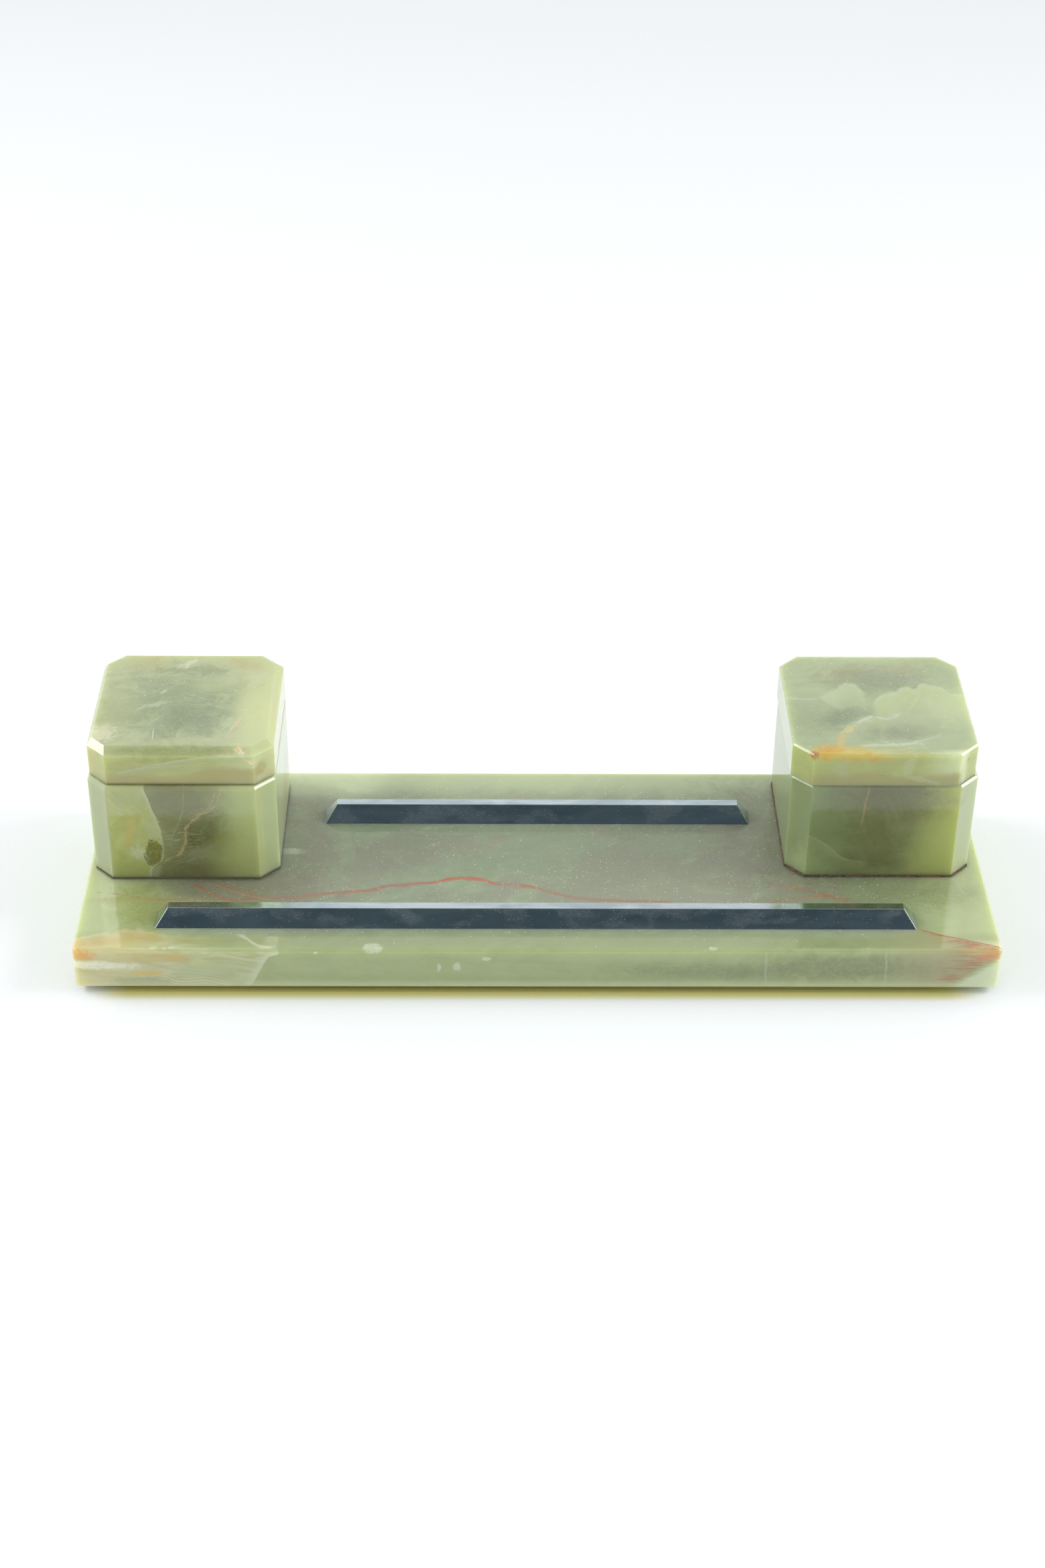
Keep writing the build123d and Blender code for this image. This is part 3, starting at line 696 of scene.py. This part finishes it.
# The honey green crystal on the left.
honey = stone.fade(beside, 0.25, -0.25)
honey_clouds = stone.clouds((10, 9, 11), 6, 1.3)
honey_tone = stone.layer(honey_clouds, (0.46, 0.49, 0.165), (0.57, 0.6, 0.26))
honey_tone = stone.layer(stone.fade(z, -7, -17, 0, 0.7), honey_tone, (0.41, 0.44, 0.14))
honey_tone = stone.layer(stone.fade(z, 8, 17, 0, 0.5), honey_tone, (0.43, 0.49, 0.25))
honey_tone = stone.layer(stone.fade(x, -23.5, -24.8), honey_tone, (0.42, 0.46, 0.26))
stone.lay(honey, honey_tone, 0.9)
stone.blots(
    ((0.62, 0.5, 0.18), 0.6, (-18, face, 0), (1.6, 4, 6), 0.7, 0.7, (0, 0.2, 0)),
    ((0.6, 0.64, 0.46), 0.7, (-14.8, face, -8), (3.6, 4, 2.4), 1, 0.5, (0, 0.4, 0)),
    ((0.5, 0.54, 0.34), 0.7, (-10.2, face, 2), (2.4, 3, 5), 0.7, 0.5),
    ((0.5, 0.54, 0.34), 0.5, (-10.5, face, -15), (2, 3, 4), 0.7, 0.5),
)
stone.torn((0.55, 0.58, 0.38), 0.6, z, x, boundary, 1.6, 1.6, 0.25, on_front)
stone.blot((0.2, 0.2, 0.05), 0.95, (-10.3, face, -7.8), (3.2, 3, 5.4), 0.4, 0.15, (0, 0.12, 0))
stone.thread((0.56, 0.56, 0.34), 0.7, z, x, boundary, 0.45, 0.5, 0.3, on_front)
# Strands in both crystals.
stone.wisps(
    ((0.64, 0.68, 0.52), 0.9, (-14.8, face, -7.5), (6, 4, 4), 1.8, (0, 1.2, 0)),
    ((0.56, 0.61, 0.4), 0.5, (-19, face, 8), (12, 4, 10), 1.4, (0, 0.9, 0)),
    ((0.52, 0.5, 0.31), 0.7, (-1, face, -2), (10, 4, 8), 2),
    ((0.56, 0.48, 0.28), 0.7, (9, face, 9), (9, 4, 4), 2, (0, -0.35, 0)),
    ((0.38, 0.38, 0.23), 0.7, (3, face, -10), (11, 4, 5), 1.6, (0, -0.4, 0)),
    ((0.6, 0.66, 0.42), 0.5, (26, -27, 0), (22, 5, 5), 1.5, (0, 1.57, 0)),
)
pink_thread = [
    (-13.5, -8.6), (-10.5, -5.6), (-8.8, -2.3), (-5.1, 0), (2.5, 1.4), (4.8, 3), (7.7, 5.8), (9.5, 8.9),
    (11.8, 11.6), (18.7, 12.9),
]
faint_thread = [(-8, -5), (-1.6, -3.7), (4.2, -1.4), (11, 0.4), (18, 1.4)]
strand = stone.plus(x, 1.5)
stone.thread((0.44, 0.38, 0.18), 0.45, z, x, pink_thread, 1.5, 1.3, 0.42, on_front)
stone.thread((0.6, 0.46, 0.26), 0.7, z, x, pink_thread, 0.5, 1.3, 0.4, on_front)
stone.thread((0.58, 0.44, 0.25), 0.6, z, strand, pink_thread[5:], 0.45, 1, 0.45, on_front)
stone.thread((0.4, 0.4, 0.26), 0.45, z, x, faint_thread, 0.5, 0.7, 0.44, on_front)

# Veins that cross the sides and the back.
stone.blots(
    ((0.33, 0.37, 0.16), 0.6, (8, back, -6), (14, 8, 7), 0.7, 0.6, (0, 0.5, 0)),
    ((0.62, 0.66, 0.44), 0.5, (-16, back, 8), (12, 8, 4), 0.7, 0.6, (0, -0.3, 0)),
    ((0.36, 0.33, 0.14), 0.6, (side, 10, -4), (4, 12, 9), 0.7, 0.6, (0.5, 0, 0)),
    ((0.34, 0.37, 0.15), 0.6, (-side, 6, 4), (4, 14, 8), 0.7, 0.6, (-0.4, 0, 0)),
)
stone.wisp((0.64, 0.66, 0.44), 0.7, (0, 24, 0), (44, 20, 22), 3, (0, 0.35, 0.3))
side_vein = [(-18.6, 6), (-8, 3), (2, 8), (10, 7), (18.6, 12)]
back_half = stone.fade(y, -20, -12)
stone.thread((0.52, 0.38, 0.17), 0.6, z, y, side_vein, 0.8, 1.4, 0.4, back_half)
stone.finish(film=0.15, specks=0.06)

# -------------------- right well
# The second block is plainer: an even olive green, darkest in the middle, with a grey cloud high on
# the front that is a painted reflection of the floor, one pink thread down the front and a pale arc at the
# lower left.

pale, middling, deep = (0.28, 0.325, 0.15), (0.23, 0.26, 0.11), (0.19, 0.205, 0.085)
stone = Stone("right_well_onyx", "right_well_body", pale, middling, deep)
x, y, z = stone.axes(stone.place)
on_front = stone.fade(y, -28, -30.5)
stone.lay(stone.fade(y, -14, 20, 0, 0.6), (0.44, 0.51, 0.25))
stone.lay(stone.fade(x, -6, -24, 0, 0.85), (0.26, 0.33, 0.15))
stone.lay(stone.fade(x, 6, 24, 0, 0.85), (0.53, 0.58, 0.2))
# Painted reflection: the right corner cut and the right side are painted paler and greyer, for the bright
# floor reflected in the polished stone.
stone.lay(stone.fade(x, 24.4, 25.4, 0, 0.7), (0.44, 0.5, 0.36))
# Darkest in the middle, with a painted reflection of the pale floor as a grey cloud high on the front, and
# lighter towards the lower corners.
stone.blots(
    ((0.175, 0.168, 0.085), 0.8, (0, face, 13), (17, 8, 8), 0.4, 0.8),
    ((0.18, 0.18, 0.072), 0.65, (-1, face, -6), (9, 8, 9), 0.4, 0.9),
    ((0.5, 0.55, 0.19), 0.6, (19, face, -12), (9, 6, 9), 0.4, 0.8),
    ((0.46, 0.48, 0.18), 0.6, (14, face, -19), (16, 5, 3.5), 0.4, 0.8),
    ((0.42, 0.5, 0.23), 0.7, (-24, face, -15), (8, 6, 7), 0.4, 0.8),
)
stone.wisp((0.42, 0.47, 0.24), 0.12, (6, face, -6), (40, 8, 22), 2.4, (0, 1.2, 0))
pink_thread = [(2, -8), (5.1, -7.1), (11.5, -6.7), (17.8, -6.2), (19, -6.2)]
pale_arc = [(-26, -1.5), (-22.2, -3.1), (-17.2, -6.7), (-11.5, -11.4), (-7, -12.4), (-4, -12)]
stone.thread((0.48, 0.36, 0.19), 0.5, z, x, pink_thread, 0.7, 0.3, 0.36, on_front)
stone.torn((0.38, 0.44, 0.2), 0.3, x, z, pale_arc, 6, 1, 0.3, on_front)
stone.thread((0.46, 0.52, 0.28), 0.5, x, z, pale_arc, 0.5, 0.6, 0.4, on_front)

# Veins that cross the sides and the back.
stone.blots(
    ((0.3, 0.34, 0.15), 0.6, (-10, back, 2), (13, 8, 8), 0.7, 0.6, (0, -0.5, 0)),
    ((0.58, 0.63, 0.4), 0.5, (15, back, -8), (12, 8, 4), 0.7, 0.6, (0, 0.3, 0)),
    ((0.36, 0.4, 0.19), 0.6, (side, 4, 3), (4, 13, 7), 0.7, 0.6, (0.4, 0, 0)),
    ((0.34, 0.32, 0.15), 0.5, (-side, 10, -5), (4, 12, 8), 0.7, 0.6, (-0.5, 0, 0)),
)
stone.wisp((0.6, 0.64, 0.42), 0.7, (0, 24, 0), (44, 20, 22), 3, (0, -0.3, -0.2))
side_vein = [(-18.6, 12), (-9, 8), (0, 9), (9, 2), (18.6, 0)]
back_half = stone.fade(y, -20, -12)
stone.thread((0.5, 0.34, 0.17), 0.5, z, y, side_vein, 0.7, 1.4, 0.4, back_half)
stone.finish(film=0.15, specks=0.06)

# -------------------- ink pots
# Thick pots of clear pressed glass, faintly green. Each hangs in its well by a flange, and its lip
# stands up into the recess of the lid. The glass has soft ripples from the mould.

glass = Finish("pot_glass")
seeds = glass.clouds((6, 6, 6), 2, 0.5)
tint = glass.layer(seeds, (0.86, 0.93, 0.9), (0.92, 0.96, 0.94))
glass.wire(Base_Color=tint, Roughness=glass.fade(seeds, 0, 1, 0.02, 0.06), IOR=1.5)
glass.wire(Transmission_Weight=1, Normal=glass.bump(seeds, 0.00003))
for side in ("left", "right"):
    glass.cover(f"{side}_ink_pot")

# -------------------- hinges
# Each lid turns on a brass pin in five knuckles. The leaves are let into the stone and held by
# slotted brass screws, which bite into lead plugs cast in the holes.

brass = Finish("hinge_brass")
drawn = brass.clouds((6, 0.12, 0.12), 3, 0)
patina = brass.clouds((3, 2.2, 2.2), 5, 0.9)
tone = brass.layer(patina, (0.62, 0.44, 0.17), (0.3, 0.2, 0.085))
tone = brass.layer(brass.times(drawn, 0.3), tone, (0.7, 0.54, 0.26))
brass.wire(Base_Color=tone, Metallic=brass.fade(patina, 0.5, 1, 1, 0.75))
brass.wire(Roughness=brass.fade(patina, 0, 1, 0.22, 0.5), Normal=brass.bump(drawn, 0.000006))

lead = Finish("plug_lead")
skin = lead.clouds((1.2, 1.2, 1.2), 5, 0.7)
lead.wire(Base_Color=lead.layer(skin, (0.2, 0.21, 0.23), (0.34, 0.35, 0.37)), Metallic=0.85)
lead.wire(Roughness=lead.fade(skin, 0, 1, 0.45, 0.7), Normal=lead.bump(skin, 0.00005))

for side in ("left", "right"):
    for part in ("hinge_pin", "body_leaf", "lid_leaf", "body_screws", "lid_screws"):
        brass.cover(f"{side}_{part}")
    for part in ("body_plugs", "lid_plugs"):
        lead.cover(f"{side}_{part}")

# -------------------- left lid
# A thick onyx lid with hand-ground bevels. The stone is grey green at heart and yellow at its
# edges, with a cream patch at the front left corner and a pink flaw in the front bevel.

pale, middling, deep = (0.5, 0.53, 0.3), (0.42, 0.46, 0.26), (0.36, 0.4, 0.2)
# The lid's front faces are tinted yellow and painted a little brighter, for light coming through the stone.
stone = Stone("left_lid_onyx", "left_lid", pale, middling, deep, front_light_tint=(1.1, 1.06, 0.74))
x, y, z = stone.axes(stone.place)
on_top = stone.fade(z, 5.6, 6.3)
on_front = stone.fade(y, -27, -30)
stone.lay(stone.fade(x, 10, 26, 0, 0.85), (0.57, 0.61, 0.32))
stone.lay(stone.fade(y, 17, 29, 0, 0.7), (0.47, 0.51, 0.26))
front_right = stone.times(on_front, stone.fade(x, 8, 25))
stone.lay(front_right, (0.62, 0.68, 0.38), 0.5)
# Dark and pale clouds under the top.
stone.blots(
    ((0.266, 0.318, 0.168), 0.9, (-4, 0, 6), (18, 19, 8), 0.7, 0.6),
    ((0.233, 0.28, 0.151), 0.85, (2, -11, 6), (11, 9, 8), 0.4, 0.7, (0, 0, 0.2)),
    ((0.275, 0.318, 0.156), 0.85, (3.5, 20, 6), (9, 3, 5), 0.7, 0.45),
    ((0.475, 0.427, 0.172), 0.6, (-15, 24.5, 6), (6, 4.5, 5), 0.7, 0.8, (0, 0, 0.3)),
    ((0.475, 0.408, 0.164), 0.6, (18, 23, 6), (7, 3, 5), 0.7, 0.7, (0, 0, -0.5)),
    ((0.456, 0.494, 0.246), 0.6, (10, 12, 6), (9, 4, 5), 0.7, 0.6, (0, 0, 0.4)),
    ((0.589, 0.627, 0.295), 0.75, (24, -8, 6), (6, 13, 5), 0.4, 0.6, (0, 0, 0.1)),
    ((0.399, 0.437, 0.205), 0.6, (-24, -4, 6), (7, 10, 5), 0.4, 0.7),
    ((0.266, 0.304, 0.095), 0.75, (-2, -29, 5), (21, 2.4, 3), 0.4, 0.6),
)
# Fine strands, mostly towards the right side.
stone.wisps(
    ((0.494, 0.551, 0.328), 0.7, (-2, 16, 6.4), (13, 5, 3), 1.5, (0, 0, -0.1)),
    ((0.494, 0.541, 0.311), 0.75, (10, 11, 6.4), (9, 4, 3), 1.4, (0, 0, 0.5)),
    ((0.399, 0.465, 0.27), 0.5, (-8, -2, 6.4), (13, 6, 3), 1.6, (0, 0, 0.5)),
    ((0.437, 0.494, 0.27), 0.7, (8, 0, 6.4), (15, 8, 3), 1.4, (0, 0, -0.2)),
    ((0.57, 0.532, 0.27), 0.6, (17, 22, 6.4), (13, 7, 3), 1.4, (0, 0, -0.4)),
    ((0.57, 0.589, 0.344), 0.7, (15, -16, 6.4), (8, 6, 3), 1.6, (0, 0, 1.1)),
    ((0.589, 0.532, 0.328), 0.7, (30, 2, 5.5), (24, 2.6, 3), 1.4, (0, 0, 1.57)),
    ((0.627, 0.627, 0.36), 0.6, (25, -8, 6.4), (16, 6, 3), 1.4, (0, 0, 1.3)),
)
# The cream corner, small pale flecks, and the flaw in the bevel.
stone.blots(
    ((0.62, 0.62, 0.419), 0.95, (-26.5, -20, 6.5), (4.4, 5, 2.6), 0.7, 0.5, (0, 0, -0.5)),
    ((0.74, 0.58, 0.346), 0.8, (-30.5, -26, 5), (1.4, 4, 1.5), 0.4, 0.5, (0, 0, 0.4)),
    ((0.5, 0.45, 0.2), 0.7, (-30.5, -26, -1), (3, 5, 7), 0.7, 0.7),
    ((0.6, 0.62, 0.419), 0.9, (-1.2, 24.5, 6.5), (3, 1.1, 1.5), 1, 0.35, (0, 0, 1)),
    ((0.52, 0.55, 0.346), 0.8, (-4.2, 22.5, 6.5), (2, 1, 1.5), 1, 0.4, (0, 0, 0.8)),
    ((0.5, 0.56, 0.382), 0.8, (-8.6, 6, 6.5), (1.8, 0.6, 1), 0.7, 0.4, (0, 0, 1.1)),
    ((0.46, 0.52, 0.346), 0.6, (-14.5, -3.5, 6.5), (3.4, 0.7, 1), 1, 0.5, (0, 0, 0.9)),
    ((0.48, 0.54, 0.364), 0.7, (-10, -2, 6.5), (3.6, 1.2, 1), 1, 0.5, (0, 0, 0.4)),
    ((0.44, 0.55, 0.309), 0.7, (15, -13.5, 6.5), (1.5, 3.4, 2), 0.7, 0.4, (0, 0, -0.4)),
    ((0.66, 0.54, 0.328), 0.85, (17.4, -14.2, 6.5), (0.7, 4.4, 1), 0.7, 0.4, (0, 0, -0.35)),
    ((0.74, 0.58, 0.346), 0.9, (21, -29.2, 4.6), (4.4, 3, 1), 1, 0.4, (0, 0.75, 0)),
    ((0.8, 0.74, 0.546), 0.9, (21.6, -29.6, 4.4), (3.2, 2, 0.5), 1, 0.3, (0, 0.75, 0)),
    ((0.42, 0.32, 0.118), 0.75, (26.4, -29, -1.2), (2.6, 2, 2.4), 0.4, 0.5, (0, -0.6, 0.4)),
    ((0.58, 0.5, 0.218), 0.5, (28, -27, -5), (5, 4, 1.6), 0.7, 0.7),
)
stone.wisp((0.72, 0.5, 0.28), 0.7, (16, -29.5, 4.8), (8, 3, 2), 1.8, (0, 0.6, 0))

# The front edge: pale green above, ochre below, divided by a slanting pale layer.
layer_line = [(-22, -2.5), (-16.7, -0.8), (-8, 1.2), (0.8, 3.2), (12, 4.4), (24, 5)]
ochre = [(-26, -2.4), (-14, -2.6), (-4, -3.4), (6, -1.2), (14, 0.2), (26, -1.5)]
stone.torn((0.47, 0.41, 0.155), 0.8, x, z, ochre, 14, 2.2, 1.4, on_front)
stone.torn((0.45, 0.5, 0.26), 0.6, x, z, layer_line, 3, 1.4, 0.5, on_front)
stone.thread((0.54, 0.58, 0.36), 0.6, x, z, layer_line, 0.7, 0.6, 0.36, on_front)
stone.wisp((0.55, 0.57, 0.33), 0.6, (-4, -30.5, 0), (26, 4, 6), 2, (0, -0.15, 0))
scratch = [(-24.5, -9.2), (-20, -9.4), (-16, -9.6)]
stone.thread((0.72, 0.74, 0.62), 0.8, y, x, scratch, 0.25, 0.05, 0.2, on_top)
pale_dust = (0.6, 0.62, 0.52)
stone.finish(0.12, 0.08, pale_dust)

# -------------------- right lid
# The second lid's stone has clouds of paler crystal with scalloped edges, and a fiery orange
# flaw that starts as a point at the front left and trails away along the front edge.

pale, middling, deep = (0.45, 0.51, 0.29), (0.385, 0.445, 0.25), (0.335, 0.395, 0.225)
# The lid's front faces are tinted yellow and painted a little brighter, for light coming through the stone.
stone = Stone("right_lid_onyx", "right_lid", pale, middling, deep, front_light_tint=(1.14, 1.08, 0.66))
x, y, z = stone.axes(stone.place)
on_top = stone.fade(z, 4.6, 5.6)
on_front = stone.fade(y, -27, -30)
front_right = stone.times(on_front, stone.fade(x, 8, 25))
stone.lay(front_right, (0.68, 0.74, 0.46), 0.8)
# Dark and pale clouds under the top.
stone.blots(
    ((0.257, 0.285, 0.164), 0.9, (1, 14.5, 6), (16, 7.5, 6), 0.4, 0.8),
    ((0.342, 0.314, 0.164), 0.5, (-8, 20, 6), (9, 4, 5), 0.7, 0.8, (0, 0, 0.3)),
    ((0.361, 0.323, 0.172), 0.5, (12, 22, 6), (8, 4, 5), 0.7, 0.8),
    ((0.294, 0.351, 0.196), 0.7, (-22, -10, 6), (10, 12, 5), 0.4, 0.8),
    ((0.237, 0.285, 0.164), 0.9, (-11.5, -8.5, 6), (8, 5, 4), 0.4, 0.6, (0, 0, 0.5)),
    ((0.247, 0.275, 0.164), 0.9, (5, -17, 6), (9, 5.5, 4), 0.4, 0.8, (0, 0, 0.1)),
    ((0.304, 0.351, 0.172), 0.5, (5, -29, 5), (14, 3, 3), 0.4, 0.7),
)

# Two clouds of pale crystal. Each is crisp and scalloped along its upper edge and fades below.
leaf_top = [(-19.5, 3.5), (-16, 6.5), (-13.5, 8), (-11, 11.5), (-8, 13), (-5, 10), (-3, 6)]
leaf_under = [(-19.5, 3.5), (-16, -1), (-12, -4.5), (-8, -6.5), (-4, -7.5)]
big_top = [
    (-1.5, -1), (0.5, 3.5), (3, 6.2), (6.5, 7), (9, 9.5), (11.5, 10.8), (14, 9), (16.5, 13), (20, 11.5),
    (23, 10.5), (26.5, 7), (31, 6),
]
inside_leaf = stone.times(on_top, stone.fade(stone.minus(y, stone.path(x, leaf_under)), -0.6, 1.2))
stone.torn((0.45, 0.52, 0.3), 0.95, x, y, leaf_top, 17, 4.6, 1.8, inside_leaf)
stone.torn((0.465, 0.525, 0.27), 0.95, x, y, big_top, 24, 5.4, 1.4, on_top)
stone.torn((0.53, 0.59, 0.4), 0.45, x, y, big_top, 4, 5.4, 0.9, on_top)
stone.torn((0.5, 0.57, 0.38), 0.35, x, y, leaf_top, 3, 4.6, 0.9, inside_leaf)
stone.blot((0.44, 0.46, 0.26), 0.6, (11, -8, 6), (10, 6, 4), 0.7, 0.8, (0, 0, 0.3))
stone.blot((0.56, 0.61, 0.34), 0.6, (24, -2, 6), (6, 11, 4), 0.4, 0.8)
lower_top = [(-14, -17.5), (-12, -14), (-8, -10.5), (-4, -8), (0, -9.5), (3, -7), (6.5, -6.5)]
stone.torn((0.43, 0.47, 0.27), 0.75, x, y, lower_top, 10, 2.4, 0.5, on_top)
rims = [
    ((0.58, 0.63, 0.5), 0.7, 1.2, 1.6, 0.42,
     [(-11, -14.5), (-7.6, -11.2), (-2.9, -8.4), (2.4, -8.6), (6.4, -6.2), (8, -5)]),
    ((0.56, 0.61, 0.44), 0.7, 0.7, 1.2, 0.42,
     [(-3.5, -20.5), (1, -23.5), (5, -24.2), (10, -23.8), (14, -22), (19.9, -18)]),
    ((0.56, 0.6, 0.42), 0.7, 1.2, 0.8, 0.36,
     [(-10, -27), (-2, -25.2), (6, -24.6), (11, -24.4), (13, -27), (14.5, -30)]),
    ((0.52, 0.58, 0.42), 0.5, 0.9, 0.5, 0.4,
     [(-31, 4.4), (-24, 3), (-19, 3.4)]),
]
for paint, share, width, wander, broken, points in rims:
    stone.thread(paint, share, x, y, points, width, wander, broken, on_top)
# Strands along the clouds' rims.
stone.wisps(
    ((0.532, 0.589, 0.393), 0.9, (-6, -10.5, 6), (7, 3.4, 3), 1.4, (0, 0, 0.5)),
    ((0.57, 0.617, 0.426), 0.9, (5, -7.5, 6), (3.4, 2.6, 3), 1.4, (0, 0, 0.9)),
    ((0.513, 0.57, 0.344), 0.7, (6, -26.5, 6), (17, 4, 3), 2, (0, 0, 0.05)),
    ((0.513, 0.57, 0.328), 0.5, (15, 2, 6), (17, 12, 3), 2, (0, 0, 1.2)),
    ((0.475, 0.513, 0.262), 0.5, (-18, 20, 6), (14, 10, 3), 1.8, (0, 0, 0.9)),
)

# The orange flaw: a burnt point, a wedge of orange trailing right, and a yellow branch going back.
stone.blots(
    ((0.52, 0.47, 0.182), 0.7, (-6, -29.8, 5.5), (14, 3, 2.6), 0.7, 0.7, (0, 0, -0.06)),
    ((0.55, 0.42, 0.082), 0.9, (-12, -28.8, 6), (9, 2.6, 2.4), 0.7, 0.5, (0, 0, -0.1)),
    ((0.58, 0.35, 0.032), 0.95, (-19.5, -28.6, 6), (5.4, 3.4, 2.6), 0.7, 0.5, (0, 0, 0.1)),
    ((0.54, 0.38, 0.073), 0.8, (-9, -30.6, 5), (8, 1.5, 1.2), 1, 0.5, (0, 0.05, 0)),
    ((0.34, 0.12, 0.036), 0.9, (-24.3, -30.2, 5.6), (1.4, 1.3, 1.6), 0.7, 0.5, (0, 0, 0.4)),
    ((0.6, 0.46, 0.155), 0.85, (-14.6, -21.8, 6.2), (1.3, 4.2, 2), 0.7, 0.5, (0, 0, -0.25)),
    ((0.62, 0.55, 0.218), 0.85, (-11.6, -16.4, 6.2), (2.9, 1.2, 2), 1, 0.4, (0, 0, 0.75)),
)
stone.wisps(
    ((0.64, 0.54, 0.182), 0.8, (-14, -28.4, 6), (13, 4, 3), 2.2, (0, 0, -0.05)),
    ((0.5, 0.2, 0.036), 0.7, (-20, -28.4, 6), (6, 3.4, 3), 2.4, (0, 0, 0.3)),
    ((0.56, 0.6, 0.291), 0.6, (-4, -28.8, 6), (12, 4, 3), 2, (0, 0, 0.2)),
)
ochre = [(-26, -1.5), (-16, -2), (-4, -1), (6, -2.5), (16, -2), (26, -1)]
stone.torn((0.41, 0.375, 0.135), 0.85, x, z, ochre, 14, 2, 1.8, on_front)
# Small marks on the front edge.
stone.blots(
    ((0.5, 0.54, 0.291), 0.8, (7.5, -30.9, 1.5), (1.6, 3, 4.2), 1, 0.4, (0, 0.35, 0)),
    ((0.5, 0.54, 0.273), 0.7, (12, -30.9, -4), (7, 3, 0.8), 1, 0.4, (0, 0.25, 0)),
    ((0.48, 0.5, 0.273), 0.7, (-15, -30.9, 0), (3, 3, 1.8), 1, 0.5, (0, 0.8, 0)),
    ((0.24, 0.17, 0.091), 0.7, (27.4, -29, 2.6), (0.35, 1, 1.3), 0.4, 0.3, (0, 0.2, 0)),
)
specks = stone.put("TexVoronoi", {"Vector": stone.place, "Scale": 1.1})
speck_patch = stone.patch((-1.2, -30.9, -1.6), (1.9, 1, 1.7), soft=0.1)
specks = stone.times(stone.fade(specks, 0.3, 0.2), speck_patch)
stone.lay(specks, (0.2, 0.14, 0.07), 0.6)
stone.finish(0.1, 0.06, pale_dust)

# -------------------- floor, light and camera
# A pale paper floor, two big soft boxes at the sides, and a pale room, brightest low at the sides,
# dimmer overhead and dark in front. A narrow olive band on the paper before the slab is a painted shadow,
# tinted as if by light through the slab.

start_piece()
bpy.ops.mesh.primitive_plane_add(size=14, location=(0, 0, cad_low.z))
floor = bpy.context.object
floor.name = "paper_floor"
paper = Finish("pale_paper")
tooth = paper.clouds((1.5, 1.5, 1.5), 3, 0)
sheet = paper.layer(tooth, (0.94, 0.955, 0.97), (0.955, 0.97, 0.985))
x, y, z = paper.axes(paper.place)
# Painted shadow: the paper just before the slab is multiplied olive.
painted_olive_shadow = paper.times(paper.fade(y, -56.5, -52), paper.fade(y, 0, -30))
painted_olive_shadow = paper.times(painted_olive_shadow, paper.fade(paper.math("ABSOLUTE", x), 150, 134))
sheet = paper.layer(painted_olive_shadow, sheet, (0.8, 0.73, 0.27), "MULTIPLY")
paper.wire(Base_Color=sheet, Roughness=0.85, Specular_IOR_Level=0.1)
paper.cover(floor)

scene = bpy.context.scene
world = bpy.data.worlds.new("studio")
scene.world = world
world.use_nodes = True
studio = Bench(world.node_tree)
direction = studio.put("TexCoord", output=0)
facing = studio.vector("DOT_PRODUCT", direction, (0, -0.92, 0.39))
dark = studio.fade(facing, 0.8, 0.94)
height = studio.axes(direction)[2]
room = studio.layer(studio.fade(height, 0.5, 0.95), (0.92, 0.945, 0.96), (0.56, 0.575, 0.585))
across = studio.math("ABSOLUTE", studio.axes(direction)[0])
sides = studio.times(studio.fade(across, 0.35, 0.7), studio.fade(height, 0.75, 0.3))
room = studio.layer(sides, room, (1.45, 1.47, 1.48))
room = studio.layer(dark, room, (0.075, 0.1, 0.115))
background = world.node_tree.nodes["Background"]
world.node_tree.links.new(room, background.inputs["Color"])

soft_boxes = [
    ("soft_box_left", (-0.98, 0.12, 0.82), 0.6, 0.35, 5),
    ("soft_box_right", (1, 0.02, 0.73), 0.35, 0.5, 4.5),
]
for name, place, width, height, power in soft_boxes:
    light = bpy.data.lights.new(name, "AREA")
    light.shape = "RECTANGLE"
    light.size = width
    light.size_y = height
    light.energy = power
    lamp = bpy.data.objects.new(name, light)
    lamp.location = place
    lamp.rotation_euler = (-Vector(place)).to_track_quat("-Z", "Y").to_euler()
    scene.collection.objects.link(lamp)

lens = bpy.data.cameras.new("camera")
lens.sensor_fit = "VERTICAL"
lens.sensor_height = 36
lens.lens = 57.92
camera = bpy.data.objects.new("camera", lens)
camera.location = (-0.01575, -0.69943, 0.53135)
pitch, yaw, roll = radians(34.62), radians(0.877), radians(0.637)
turns = ((0, 0, -yaw), (radians(90) - pitch, 0, 0), (0, 0, roll))
aim, tilt, lean = [Euler(turn).to_matrix() for turn in turns]
camera.rotation_euler = (aim @ tilt @ lean).to_euler()
scene.collection.objects.link(camera)
bpy.context.scene.camera = camera
scene.view_settings.view_transform = "Standard"
